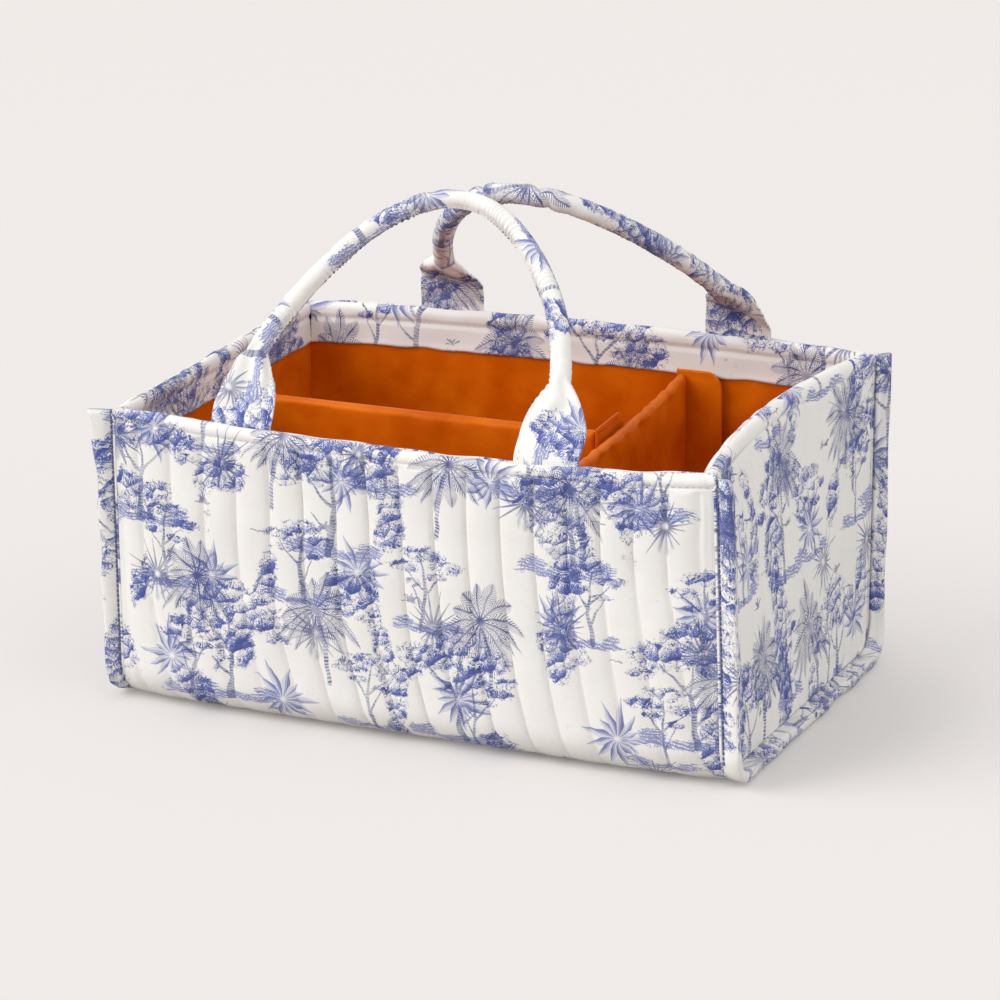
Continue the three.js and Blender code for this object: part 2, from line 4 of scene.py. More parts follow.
import bmesh
import bpy
import numpy as np
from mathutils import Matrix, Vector


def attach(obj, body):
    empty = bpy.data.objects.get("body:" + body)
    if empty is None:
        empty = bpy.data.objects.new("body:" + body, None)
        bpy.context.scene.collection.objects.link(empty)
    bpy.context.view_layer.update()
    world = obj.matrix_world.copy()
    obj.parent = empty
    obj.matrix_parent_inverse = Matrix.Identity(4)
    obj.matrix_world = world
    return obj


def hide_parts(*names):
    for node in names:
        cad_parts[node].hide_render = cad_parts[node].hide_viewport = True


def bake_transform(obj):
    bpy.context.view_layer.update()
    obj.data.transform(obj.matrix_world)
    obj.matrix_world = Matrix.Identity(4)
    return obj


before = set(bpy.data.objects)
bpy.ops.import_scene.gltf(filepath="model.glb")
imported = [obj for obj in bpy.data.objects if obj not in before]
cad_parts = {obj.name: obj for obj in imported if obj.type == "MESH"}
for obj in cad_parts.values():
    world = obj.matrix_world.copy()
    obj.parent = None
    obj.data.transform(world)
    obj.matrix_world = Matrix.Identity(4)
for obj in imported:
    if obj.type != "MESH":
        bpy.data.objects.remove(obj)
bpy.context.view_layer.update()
scene = bpy.context.scene


class Num:  # a value or vector in a node tree that works in plain arithmetic
    def __init__(self, tree, socket):
        self.tree, self.socket = tree, socket

    def output(self, name):  # another output of the same node
        return Num(self.tree, self.socket.node.outputs[name])

    def math(self, operation, *others):
        return mathNode(self.tree, operation, self, *others)

    def __rsub__(self, other):
        return mathNode(self.tree, "SUBTRACT", other, self)

    __add__ = partialmethod(math, "ADD")
    __sub__ = partialmethod(math, "SUBTRACT")
    __mul__ = partialmethod(math, "MULTIPLY")
    __truediv__ = partialmethod(math, "DIVIDE")
    abs = partialmethod(math, "ABSOLUTE")
    sine = partialmethod(math, "SINE")
    floor = partialmethod(math, "FLOOR")
    most = partialmethod(math, "MAXIMUM")
    least = partialmethod(math, "MINIMUM")

    def ease(self, low, high):  # 0 below low, 1 above high, smooth between
        return node(self.tree, "ShaderNodeMapRange", {"Value": self, "From Min": low, "From Max": high}, "Result",
                    interpolation_type="SMOOTHSTEP")

    def between(self, low, high, blur):
        return self.ease(low - blur, low + blur) * (1 - self.ease(high - blur, high + blur))


def node(tree, kind, inputs=(), out=0, **settings):  # adds a node and gives one of its outputs
    made = tree.nodes.new(kind)
    for key, value in settings.items():
        setattr(made, key, value)
    for name, value in dict(inputs).items():
        if isinstance(value, Num):
            tree.links.new(value.socket, made.inputs[name])
        else:
            made.inputs[name].default_value = value
    return Num(tree, made.outputs[out])


def mathNode(tree, operation, *values):
    return node(tree, "ShaderNodeMath", dict(enumerate(values)), operation=operation)


def vectorNode(operation, a, b=None, out="Vector"):
    inputs = {0: a}
    if b is not None:
        inputs["Scale" if operation == "SCALE" else 1] = b
    return node(a.tree, "ShaderNodeVectorMath", inputs, out, operation=operation)


def shift(point, x, y):
    return vectorNode("SUBTRACT", point, (x, y, 0))


def stretch(point, x, y):
    return vectorNode("MULTIPLY", point, (x, y, 1))


def length(point):
    return vectorNode("LENGTH", point, out="Value")


def split(point):
    x = node(point.tree, "ShaderNodeSeparateXYZ", {0: point})
    return x, x.output(1)


def joined(x, y):
    tree = x.tree if isinstance(x, Num) else y.tree
    return node(tree, "ShaderNodeCombineXYZ", {"X": x, "Y": y})


def noise(point, size, detail=2.0, roughness=0.5, distortion=0.0, out=0):
    return node(point.tree, "ShaderNodeTexNoise", {
        "Vector": point, "Scale": 1 / size, "Detail": detail, "Roughness": roughness, "Distortion": distortion,
    }, out, noise_dimensions="2D")


def wander(point, size, reach):  # how far noise moves a point aside
    return stretch(shift(noise(point, size, detail=1, out=1), 0.5, 0.5), reach, reach)


def chance(point):
    value = node(point.tree, "ShaderNodeTexWhiteNoise", {"Vector": point}, "Value", noise_dimensions="3D")
    return value, value.output("Color")


def mixColour(factor, a, b):
    return node(factor.tree, "ShaderNodeMix", {0: factor, 6: a, 7: b}, 2, data_type="RGBA")


def clothPoint(tree):  # the place on the flat cloth, in mm
    return stretch(node(tree, "ShaderNodeUVMap", uv_map="cloth"), 100, 100)


def colour(red, green, blue):  # an sRGB colour, 0 to 255, as the linear one that nodes take
    def linear(c):
        c /= 255
        return c / 12.92 if c <= 0.04045 else ((c + 0.055) / 1.055) ** 2.4
    return (linear(red), linear(green), linear(blue), 1)


printLook = {
    "cream": colour(238, 235, 231),
    "pale": colour(200, 206, 229),
    "middle": colour(110, 122, 186),
    "deep": colour(66, 77, 140),
    "line": colour(78, 88, 142),
    "strokeSize": 4.2,  # size of the curling pen strokes in the foliage, mm
    "clump": 6.8,       # size of one clump of leaves
    # for each motif the size of the cells that hold one each, how far it strays in its cell, and its seed
    "oak": ((127, 104), (40, 22), 1),
    "pine": ((86, 76), (28, 18), 23),
    "palm": ((109, 97), (40, 30), 4),
    "spiky": ((83, 87), (30, 30), 7),
    "agave": ((97, 69), (44, 18), 13),
    "tuft": ((37, 29), (14, 14), 17),
}
treeShapes = {  # ovals as x, y, width, height; strokes as start, end and thickness at both
    "oak": {
        "crown": [(-19, 14, 16, 9), (1, 25, 17, 10), (20, 16, 14, 8), (-5, 12, 11, 6), (10, 8, 8, 5),
                  (-28, 3, 8, 4), (29, 4, 7, 4)],
        "ground": [(0, -37, 36, 4), (-22, -33, 11, 6), (19, -33, 12, 5)],
        "trunk": [((3, -38), (0, -6), 2.2, 1.3), ((0, -8), (-17, 10), 1.0, 0.4), ((0, -6), (3, 18), 1.0, 0.4),
                  ((1, -10), (20, 12), 1.0, 0.4), ((3, -24), (13, -14), 1.0, 0.4)],
    },
    "pine": {  # slender, with flat layers of needles
        "crown": [(-11, 12, 11, 3.6), (3, 18, 14, 4.4), (14, 10, 10, 3.4), (-5, 5, 7, 2.6), (9, 1, 6, 2.4)],
        "ground": [(2, -27, 25, 3), (-13, -24, 9, 4.5), (15, -24, 8, 4)],
        "trunk": [((4, -27), (1, -4), 1.3, 0.9), ((1, -4), (3, 15), 0.9, 0.4), ((1, -6), (-10, 9), 0.7, 0.3),
                  ((2, -3), (13, 7), 0.7, 0.3), ((3, -15), (9, -1), 0.7, 0.3)],
    },
}


def cellOf(point, kind):  # the local place in a motif's cell, and the cell's own chance value
    (wide, high), jitter, seed = printLook[kind]
    x, y = split(shift(point, seed * 13.7, seed * 7.9))
    row = (y / high).floor()
    x = x + row * (wide * 0.43)
    column = (x / wide).floor()
    value, three = chance(joined(column + seed, row))
    local = joined(x - (column + 0.5) * wide, y - (row + 0.5) * high)
    jittered = vectorNode("SUBTRACT", local, stretch(shift(three, 0.5, 0.5), *jitter))
    return vectorNode("MULTIPLY", jittered, joined((value - 0.5).math("SIGN"), 1.0)), value


def oval(point, x, y, wide, high):  # 1 at the middle, 0 on the edge
    return 1 - length(stretch(shift(point, x, y), 1 / wide, 1 / high))


def stroke(point, start, end, thick, thin):  # distance inside a tapered straight stroke
    dx, dy = end[0] - start[0], end[1] - start[1]
    reach = dx * dx + dy * dy
    local = shift(point, *start)
    t = vectorNode("DOT_PRODUCT", local, (dx / reach, dy / reach, 0), out="Value").most(0).least(1)
    along = node(t.tree, "ShaderNodeVectorMath", {0: (dx, dy, 0), "Scale": t}, operation="SCALE")
    return thick - t * (thick - thin) - vectorNode("DISTANCE", local, along, out="Value")


def union(part, point, shapes):
    whole = part(point, *shapes[0])
    for shape in shapes[1:]:
        whole = whole.most(part(point, *shape))
    return whole


def treeMotif(point, kind):
    shape = treeShapes[kind]
    return union(oval, point, shape["crown"]), union(oval, point, shape["ground"]), union(stroke, point, shape["trunk"])


def blades(point, count, seed):  # each blade's own chance, how far out this is, and how far beside the blade
    x, y = split(point)
    turn = y.math("ARCTAN2", x) * (count / (2 * math.pi))
    blade = turn.floor()
    own, _ = chance(joined(blade, seed))
    return own, length(point), turn - blade - 0.5, 2 * math.pi / count


def palmMotif(point, value):
    x, y = split(point)
    trunk = 1.5 - (x - (y + 34) * (y + 34) * 0.004).abs()
    bark = (y * 2.9 + x).sine().ease(-0.3, 0.6)
    trunk = trunk.ease(-0.2, 0.3) * y.between(-36, 8, 1) * (bark * 0.6 + 0.4)
    x, y = split(shift(point, 7.2, 9))
    own, reach, beside, step = blades(joined(x, y + x * x * 0.026), 15, value)
    aside = (beside * reach * step).abs()
    share = (reach / (own * 11 + 19)).least(1)
    veins = ((reach * 0.8 - aside * 1.25) * 4.6).sine()
    leaf = (share * math.pi).sine() * 3.9 - aside + veins * 0.7
    inside = leaf.ease(-0.2, 0.5) * (veins.ease(-0.4, 0.4) * 0.85) * (1 - share.ease(0.9, 1)) * reach.ease(1.5, 6)
    rib = (0.4 - aside).ease(-0.3, 0.2) * (1 - share.ease(0.9, 1))
    return trunk.most(inside).most(rib)


def spikyMotif(point, value, count, thick, reaches):  # leaves that stand out from one foot, thin or broad
    own, reach, beside, step = blades(point, count, value * 9)
    aside = (beside + (own - 0.5) * 0.4) * reach * step
    tip = own * reaches[1] + reaches[0] + split(point)[1] * 0.12
    share = (reach / tip).least(1)
    width = (1 - share) * share.ease(0, 0.25) * thick + 0.16
    body = (width - aside.abs()).ease(-0.2, 0.15) * (1 - (reach - tip).ease(-0.5, 0.5)) * reach.ease(0.5, 3)
    return body, aside


def skirtMotif(point):  # the dry leaves that hang under a yucca
    x, y = split(point)
    lines = ((x / (y - 4).abs() + 0.03) * 24).sine() * 0.5 + 0.5
    return oval(point, 0, -9, 6, 9).ease(0, 0.4) * lines


def tuftMotif(point, value):  # a far bird or a tuft of grass
    x, y = split(point)
    wing = (y - (x.abs().math("SQRT") * 1.9 - x.abs() * 0.62)).abs()
    bird = (1 - wing.ease(0.15, 0.5)) * (1 - x.abs().ease(3.9, 4.4))
    own, reach, beside, step = blades(point, 17, value * 5)
    aside = (beside * reach * step).abs()
    grass = (0.45 - aside).ease(-0.2, 0.1) * (1 - (reach - own * 6).ease(-0.4, 0.4)) * y.ease(-1, 0)
    return (bird * value.between(0.5, 0.56, 0.001)).most(grass * value.ease(0.7, 0.701))


def addPrint(tree):
    point = clothPoint(tree)
    drawn = vectorNode("ADD", point, wander(point, 10, 2.8))
    frayed = noise(point, 4.5, detail=2.5, roughness=0.75) - 0.5
    oak, oakGround, oakTrunk = treeMotif(cellOf(drawn, "oak")[0], "oak")
    pine, pineGround, pineTrunk = treeMotif(cellOf(drawn, "pine")[0], "pine")
    spikyPoint, spikyValue = cellOf(point, "spiky")
    spiky, _ = spikyMotif(spikyPoint, spikyValue, 19, 0.7, (9, 13))
    agave, agaveAside = spikyMotif(*cellOf(drawn, "agave"), 13, 4.6, (11, 13))
    palm, tuft = palmMotif(*cellOf(drawn, "palm")), tuftMotif(*cellOf(drawn, "tuft"))

    size = printLook["clump"]
    middle = node(tree, "ShaderNodeTexVoronoi", {"Vector": drawn, "Scale": 1 / size}, "Position",
                  voronoi_dimensions="2D")
    local = vectorNode("SUBTRACT", drawn, middle)
    across, up = split(local)
    shade = across * (0.5 / size) - up * (0.9 / size) + noise(point, 22, detail=1.5) * 1.5 - 0.82
    x, y = split(point)
    curl = vectorNode("ADD", point, stretch(local, 0.5, 0.5))
    level = noise(curl, printLook["strokeSize"], detail=1, distortion=1.1) * 4.4
    strokes = (level.math("FRACT") - 0.5).abs() * 2
    hatch = ((y + x * 0.15 + noise(point, 9) * 5) * (2 * math.pi / 1.9)).sine() * 0.5 + 0.5

    woods = noise(stretch(drawn, 1.2, 0.8), 46, detail=1, roughness=0.4) - 0.615
    grown = (oak + frayed * 1.1).most(pine + frayed * 1.1).most(woods * 8 + frayed)
    mass = grown.ease(0.02, 0.3)
    tone = mass * (shade * 0.85 + 0.52)
    leaves = (tone - strokes * 0.86).ease(-0.1, 0.24)
    dark = (tone - strokes * 0.8).ease(0.2, 0.7) * 0.85
    ragged = vectorNode("ADD", drawn, wander(point, 2.4, 3.4))
    edge = node(tree, "ShaderNodeTexVoronoi", {"Vector": ragged, "Scale": 1 / size}, "Distance",
                voronoi_dimensions="2D", feature="DISTANCE_TO_EDGE")
    drawnEdge = (0.08 - edge).ease(0, 0.06) * (1 - strokes.ease(0.45, 0.95))
    curls = (0.36 - strokes).ease(0, 0.2) * (shade + 0.75).ease(0, 0.6)
    pen = drawnEdge.most(curls) * grown.ease(-0.06, 0.08) * 0.75
    ground = (oakGround.most(pineGround) + frayed * 0.9).ease(0, 0.5) * 0.62
    soil = (ground - hatch.least(strokes) * 0.95).ease(0, 0.25)
    trunks = oakTrunk.most(pineTrunk).ease(-0.25, 0.25) * (hatch * 0.45 + 0.5)
    ribs = (agaveAside * 7).sine().ease(-0.2, 0.8)
    broad = agave * (agaveAside.ease(-0.4, 0.6) * 0.45 + ribs * 0.35 + 0.14)
    fine = palm.most(spiky * 0.8).most(skirtMotif(spikyPoint) * 0.55).most(tuft * 0.8)

    cloth = mixColour(mass * (shade + 0.45).ease(0.1, 1) * 0.7, printLook["cream"], printLook["pale"])
    cloth = mixColour(leaves.most(soil * 0.8).most(broad), cloth, printLook["middle"])
    cloth = mixColour(dark.most(pen).most(agave * agaveAside.ease(0.5, 1.6) * 0.5), cloth, printLook["deep"])
    inkTone = noise(point, 9, detail=1).ease(0.3, 0.7) * 0.4 + 0.6
    return mixColour(fine.most(trunks) * inkTone, cloth, printLook["line"]), point


def newMaterial(name, recipe, fixed, strength=0.0, distance=0.0):  # the recipe gives shader inputs and a height
    material = bpy.data.materials.new(name)
    material.use_nodes = True
    tree = material.node_tree
    tree.nodes.clear()
    inputs, height = recipe(tree)
    if height is not None:
        inputs["Normal"] = node(tree, "ShaderNodeBump", {"Height": height, "Strength": strength, "Distance": distance})
    shader = node(tree, "ShaderNodeBsdfPrincipled", {**inputs, **fixed})
    output = tree.nodes.new("ShaderNodeOutputMaterial")
    tree.links.new(shader.socket, output.inputs["Surface"])
    return material


cottonLook = {
    "threadPitch": 0.55,
    "bump": (0.4, 0.0004),
    "shader": {"Roughness": 0.9, "Sheen Weight": 0.08, "Sheen Roughness": 0.5, "Specular IOR Level": 0.2},
}
satinLook = {
    "lit": colour(220, 110, 10),
    "shade": colour(198, 84, 0),
    "roughness": 0.35,
    "bump": (0.3, 0.0007),
    "shader": {"Sheen Weight": 0.2, "Sheen Roughness": 0.35, "Sheen Tint": colour(255, 170, 70),
               "Specular IOR Level": 0.5, "Specular Tint": colour(255, 168, 84)},
}


def printedCotton(tree):  # the print, over threads that go over and under
    tone, point = addPrint(tree)
    x, y = split(point)
    pitch = 2 * math.pi / cottonLook["threadPitch"]
    raised = (x * pitch).sine() * (y * pitch).sine() * 0.5 + noise(point, 0.9) * 0.8 + noise(point, 6)
    return {"Base Color": tone}, raised


def rustSatin(tree):
    point = clothPoint(tree)
    slub = noise(stretch(point, 0.12, 1.6), 1.4, detail=3, roughness=0.6)
    share = (slub * 0.12 + noise(point, 34) - 0.25).ease(0, 0.7)
    raised = slub * 0.12 + noise(point, 13, detail=3) * 2.6
    return {"Base Color": mixColour(share, satinLook["shade"], satinLook["lit"]),
            "Roughness": slub * 0.1 + satinLook["roughness"]}, raised


def grained(kind, texture, out, low, high, dark, light):  # two tones of one colour that follow a fine grain
    def recipe(tree):
        point = node(tree, "ShaderNodeTexCoord", out="Object")
        grain = node(tree, kind, {"Vector": point, **texture}, out)
        share = grain if low is None else grain.ease(low, high)
        return {"Base Color": mixColour(share, dark, light)}, grain
    return recipe


def thread(name, *tone):
    light = colour(*tone)
    recipe = grained("ShaderNodeTexWave", {"Scale": 900.0, "Distortion": 1.5}, 1, None, None,
                     (*(c * 0.8 for c in light[:3]), 1), light)
    return newMaterial(name, recipe, {"Roughness": 0.6}, 0.4, 0.0002)


cotton = newMaterial("printedCotton", printedCotton, cottonLook["shader"], *cottonLook["bump"])
satin = newMaterial("rustSatin", rustSatin, satinLook["shader"], *satinLook["bump"])
creamThread = thread("creamThread", 240, 236, 230)
# dark blue thread for the corner seams; its darkness is partly painted shade, standing in for the shadow in the seam's
# groove
inkAndShadeThread = thread("inkAndShadeThread", 96, 102, 146)
# the rim's thread is greyer than the cream thread: painted shade of the stitch holes along the rim
shadedRimThread = thread("shadedRimThread", 204, 194, 192)
rustThread = thread("rustThread", 150, 62, 4)
hookTape = newMaterial("hookTape", grained("ShaderNodeTexVoronoi", {"Scale": 1300.0}, "Distance", 0.1, 0.7,
                                           colour(150, 66, 6), colour(196, 98, 20)), {"Roughness": 0.95}, 0.8, 0.0006)
greyBoard = newMaterial("greyBoard", grained("ShaderNodeTexNoise", {"Scale": 420.0, "Detail": 4.0}, 0, 0.3, 0.7,
                                             colour(150, 138, 116), colour(196, 184, 160)),
                        {"Roughness": 0.85}, 0.3, 0.0003)
print("materials ready")


stance = {
    "halfLength": 184.136, "halfDepth": 120.636, "wallHeight": 178,
    "rightLean": 7, "rightBow": 16, "leftLean": 2, "bulge": 6,
    "frontRim": (-9, 5.5, 1.5), "backRim": (9.5, 2.5, -3.5),  # how the rims rise along the length
    "crestRadius": 4.2, "baseRadius": 22, "wallThickness": 8.4,
    "cornerGap": 0.25,  # how far from a corner the outer cloth stops
    "lineLean": 21,     # how far the quilting lines lean aside at the foot of the long walls
}
halfLength, halfDepth, wallHeight = stance["halfLength"], stance["halfDepth"], stance["wallHeight"]
crestRadius, baseRadius, wallThickness = stance["crestRadius"], stance["baseRadius"], stance["wallThickness"]
insideX, insideY, cornerGap = halfLength - wallThickness, halfDepth - wallThickness, stance["cornerGap"]


def stand(x, y, z):  # moves a point of the straight box to where the soft basket has it
    x, y, z = np.broadcast_arrays(*(np.asarray(v, float) for v in (x, y, z)))
    a, b = np.clip(x / halfLength, -1, 1), np.clip(y / halfDepth, -1, 1)
    h = np.clip(z / wallHeight, 0, 1.05)
    alongX = np.minimum(1, np.abs(a) / 0.92) ** 2.5
    alongY = np.minimum(1, np.abs(b) / 0.9) ** 2.5
    right = -(stance["rightLean"] * (1 - b) / 2 * h + stance["rightBow"] * (1 - b * b) * h ** 1.3)
    left = -stance["leftLean"] * h
    bulge = stance["bulge"] * (1 - a ** 8) * (0.9 + 0.1 * np.sin(np.pi * h) - 0.3 * h * h)
    frontRim, backRim = stance["frontRim"], stance["backRim"]
    front = frontRim[0] + frontRim[1] * a * a + frontRim[2] * a ** 3
    back = backRim[0] + backRim[2] * a * a + backRim[1] * a
    return np.stack([
        x + alongX * np.where(a > 0, right, left),
        y + np.sign(b) * alongY * bulge,
        z + h * (front + (back - front) * (b + 1) / 2),
    ], -1)


def ease(low, high, value):
    t = np.clip((value - low) / (high - low), 0, 1)
    return t * t * (3 - 2 * t)


def pairs(u, v):
    return np.stack(np.broadcast_arrays(u, v), -1)


def groove(distance, width):
    return np.exp(-(distance / width) ** 2)


def runOf(points):  # the distance gone along a row of points
    return np.concatenate([[0], np.cumsum(np.linalg.norm(np.diff(points, axis=0), axis=1))])


def quarter(turn, *radii):  # the cosine and sine of a turn, times each radius
    return [part * radius for radius in radii for part in (math.cos(turn), math.sin(turn))]


def waves(u, v, size, seed, height=1):  # gentle unevenness about 0, made of a few crossing waves
    draw, total, count = np.random.default_rng(seed), 0, 8
    for _ in range(count):
        turn, phase = draw.uniform(0, 2 * math.pi, 2)
        pitch = 2 * math.pi / (size * draw.uniform(0.7, 1.6))
        total = total + np.sin(pitch * (u * math.cos(turn) + v * math.sin(turn)) + phase)
    return height * (total / math.sqrt(count))


def makePiece(name, points, faces, uv, material, extras=()):
    mesh = bpy.data.meshes.new(name)
    mesh.from_pydata((points * 0.001).tolist(), [], faces.tolist())
    layer = mesh.uv_layers.new(name="cloth")
    index = np.empty(len(mesh.loops), int)
    mesh.loops.foreach_get("vertex_index", index)
    layer.data.foreach_set("uv", (uv[index] * 0.01).astype(np.float32).ravel())
    for key, values in dict(extras).items():
        kind, field = ("FLOAT_VECTOR", "vector") if values.ndim == 2 else ("FLOAT", "value")
        attribute = mesh.attributes.new(key, kind, "POINT")
        attribute.data.foreach_set(field, values.astype(np.float32).ravel())
    mesh.materials.append(material)
    mesh.shade_smooth()
    piece = bpy.data.objects.new(name, mesh)
    scene.collection.objects.link(piece)
    return piece


def fitted(piece, body, slot, *solids):  # the body it rides on, its slot (not used) and the solids it stands for
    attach(piece, body)
    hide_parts(*solids)
    return piece


def gridFaces(rows, columns, start=0):
    i, j = np.meshgrid(np.arange(rows - 1), np.arange(columns - 1), indexing="ij")
    a = start + (i * columns + j).ravel()
    return np.stack([a, a + 1, a + columns + 1, a + columns], -1)


def rimFaces(rows, columns, other):  # closes the edge between a grid and the one that starts at other
    top = np.arange(columns)
    bottom = top + (rows - 1) * columns
    left = np.arange(rows) * columns
    right = left + columns - 1
    loop = np.concatenate([top[:-1], right[:-1], bottom[:0:-1], left[:0:-1]])
    after = np.roll(loop, -1)
    return np.stack([loop, loop + other, after + other, after], -1)


def outwardFaces(points, faces):  # turns all faces round if the closed shape is inside out
    a, b, c, d = (points[faces[:, k]] for k in range(4))
    volume = (np.einsum("ij,ij->i", a, np.cross(b, c)) + np.einsum("ij,ij->i", a, np.cross(c, d))).sum()
    return faces if volume > 0 else faces[:, ::-1]


def shell(name, grid, inner, uv, material, extras=()):  # a sheet of cloth with thickness
    rows, columns = grid.shape[:2]
    count = rows * columns
    points = np.concatenate([grid.reshape(-1, 3), inner.reshape(-1, 3)])
    faces = np.concatenate([
        gridFaces(rows, columns), gridFaces(rows, columns, count)[:, ::-1], rimFaces(rows, columns, count),
    ])
    uvs = np.tile(uv.reshape(-1, 2), (2, 1))
    both = {key: np.concatenate([v.reshape(count, -1)] * 2).squeeze() for key, v in dict(extras).items()}
    return makePiece(name, points, outwardFaces(points, faces), uvs, material, both)


def weld(piece):
    work = bmesh.new()
    work.from_mesh(piece.data)
    bmesh.ops.remove_doubles(work, verts=work.verts, dist=0.00001)
    bmesh.ops.recalc_face_normals(work, faces=work.faces)
    work.to_mesh(piece.data)
    work.free()
    return piece


def nodeGroup(name, sizes):  # gives the tree, a reader for its inputs and a call that ends it
    tree = bpy.data.node_groups.new(name, "GeometryNodeTree")
    face = tree.interface
    face.new_socket("Geometry", in_out="INPUT", socket_type="NodeSocketGeometry")
    for label, value in sizes.items():
        face.new_socket(label, in_out="INPUT", socket_type="NodeSocketFloat").default_value = value
    face.new_socket("Material", in_out="INPUT", socket_type="NodeSocketMaterial")
    face.new_socket("Geometry", in_out="OUTPUT", socket_type="NodeSocketGeometry")
    given, result = tree.nodes.new("NodeGroupInput"), tree.nodes.new("NodeGroupOutput")

    def value(label):
        return Num(tree, given.outputs[label])

    def finish(geometry):
        for kind in ("GeometryNodeRealizeInstances", "GeometryNodeSetShadeSmooth"):
            geometry = node(tree, kind, {"Geometry": geometry})
        painted = node(tree, "GeometryNodeSetMaterial", {"Geometry": geometry, "Material": value("Material")})
        tree.links.new(painted.socket, result.inputs[0])
        return tree

    return tree, value, finish


def quiltTree():  # raises the cloth between the sewn lines, along the direction kept in "outward"
    tree, value, finish = nodeGroup("quilting", {
        "Channel width": 20.2, "Puff height": 1.8, "Softness": 0.4, "Lump size": 26.0, "Lump height": 0.8,
        "Pucker size": 6.5, "Pucker height": 0.9,
    })

    def named(name, kind="FLOAT"):
        return node(tree, "GeometryNodeInputNamedAttribute", {"Name": name}, data_type=kind)

    def uneven(place, size):
        return node(tree, "ShaderNodeTexNoise", {
            "Vector": place, "Detail": 2.0, "Scale": mathNode(tree, "DIVIDE", 1000.0, size)}) - 0.5

    wave = (named("across") * math.pi / value("Channel width")).sine().abs()
    puff = wave.math("POWER", value("Softness"))
    place = node(tree, "GeometryNodeInputPosition")
    lumps = uneven(place, value("Lump size")) * value("Lump height") * 2
    flatter = vectorNode("MULTIPLY", place, (0.35, 0.35, 1))
    pucker = uneven(flatter, value("Pucker size")) * value("Pucker height") * 2 * (1 - wave) * wave.ease(0, 0.35)
    raised = ((puff - 0.72) * value("Puff height") + lumps * puff + pucker) * named("loft") * 0.001
    return finish(node(tree, "GeometryNodeSetPosition", {
        "Geometry": value("Geometry"), "Offset": vectorNode("SCALE", named("outward", "FLOAT_VECTOR"), raised),
    }))


def stitchTree():  # one small thread capsule for each stitch along the lines it is given
    tree, value, finish = nodeGroup("stitches", {"Stitch length": 2.6, "Gap": 0.8, "Thread width": 0.55})
    curve = node(tree, "GeometryNodeMeshToCurve", {"Mesh": value("Geometry")})
    points = node(tree, "GeometryNodeResampleCurve", {
        "Curve": curve, "Length": (value("Stitch length") + value("Gap")) * 0.001}, mode="LENGTH")
    ball = node(tree, "GeometryNodeMeshUVSphere", {"Segments": 6, "Rings": 5, "Radius": 0.0005})
    width = value("Thread width")
    size = node(tree, "ShaderNodeCombineXYZ", {"X": width, "Y": width, "Z": value("Stitch length")})
    turned = node(tree, "FunctionNodeAlignRotationToVector", {"Vector": node(tree, "GeometryNodeInputTangent")},
                  axis="Z")
    return finish(node(tree, "GeometryNodeInstanceOnPoints", {
        "Points": points, "Instance": ball, "Rotation": turned, "Scale": size}))


quilting, stitching = quiltTree(), stitchTree()


def applyTree(piece, tree, values):  # runs the tree and keeps what it makes as the piece's own mesh
    modifier = piece.modifiers.new(tree.name, "NODES")
    modifier.node_group = tree
    for item in tree.interface.items_tree:
        if item.in_out == "INPUT" and item.name in values:
            modifier[item.identifier] = values[item.name]
    bpy.context.view_layer.update()
    graph = bpy.context.evaluated_depsgraph_get()
    made = bpy.data.meshes.new_from_object(piece.evaluated_get(graph), preserve_all_data_layers=True, depsgraph=graph)
    piece.modifiers.clear()
    piece.data = made
    made.name = piece.name


def stitches(name, lines, material, body, size):  # size is a stitch's length, the gap and the thread's width
    points, edges = [], []
    for line in lines:
        start = len(points)
        points.extend((np.asarray(line) * 0.001).tolist())
        edges.extend([k, k + 1] for k in range(start, len(points) - 1))
    mesh = bpy.data.meshes.new(name)
    mesh.from_pydata(points, edges, [])
    piece = bpy.data.objects.new(name, mesh)
    scene.collection.objects.link(piece)
    applyTree(piece, stitching, {"Material": material, **dict(zip(("Stitch length", "Gap", "Thread width"), size))})
    if body:
        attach(piece, body)
    return piece


outer = {
    "thickness": 1.6,
    "rimRows": 14,        # the finer mesh rows reach this far under the rim
    "firstLine": -168.4,  # where the first sewn line stands, how far apart they are and how many
    "linePitch": 20.2,
    "lines": 18,
    "endLine": -100.6,    # where the first one stands on the ends
    "endPrint": ((640, -31), (1920, 31)),  # where in the print the left and the right end are cut
    "columns": 16,        # mesh columns in one quilted channel
    "puff": 3.1,
    "endPuff": 0.75,      # the share of it on the ends
    "swell": (0.5, 0.6),  # how far the long walls and the ends swell unevenly
    "rimWave": 0.35,
    "cornerLine": 5.0,
    "fill": 0.35,
    "stitch": (2.3, 0.9, 0.4),
    "rimStitch": (2.6, 1.1, 0.5),
}
rimLook = {  # roll, groove, its width and its depth under the crest
    "long": (0.3, 0.6, 0.8, 7.0), "end": (0.5, 1.0, 0.9, 8.5), "facing": (0.55, 1.0, 1.1, 8.8),
}


def lineShift(x, y, z):  # how far the sewn lines have leant aside here
    lean = stance["lineLean"] * np.clip(1 - z / 150, 0, 1) ** 1.8
    return lean + 0.8 * waves(z + 2 * y, 0.4 * x, 80, 3)


def rimShape(depth, kind):  # the rolled rim above its sewn line, and the groove of that line
    roll, deep, wide, sewn = rimLook[kind]
    return roll * np.sin(np.pi * np.clip(depth / sewn, 0, 1)) - deep * groove(depth - sewn, wide)


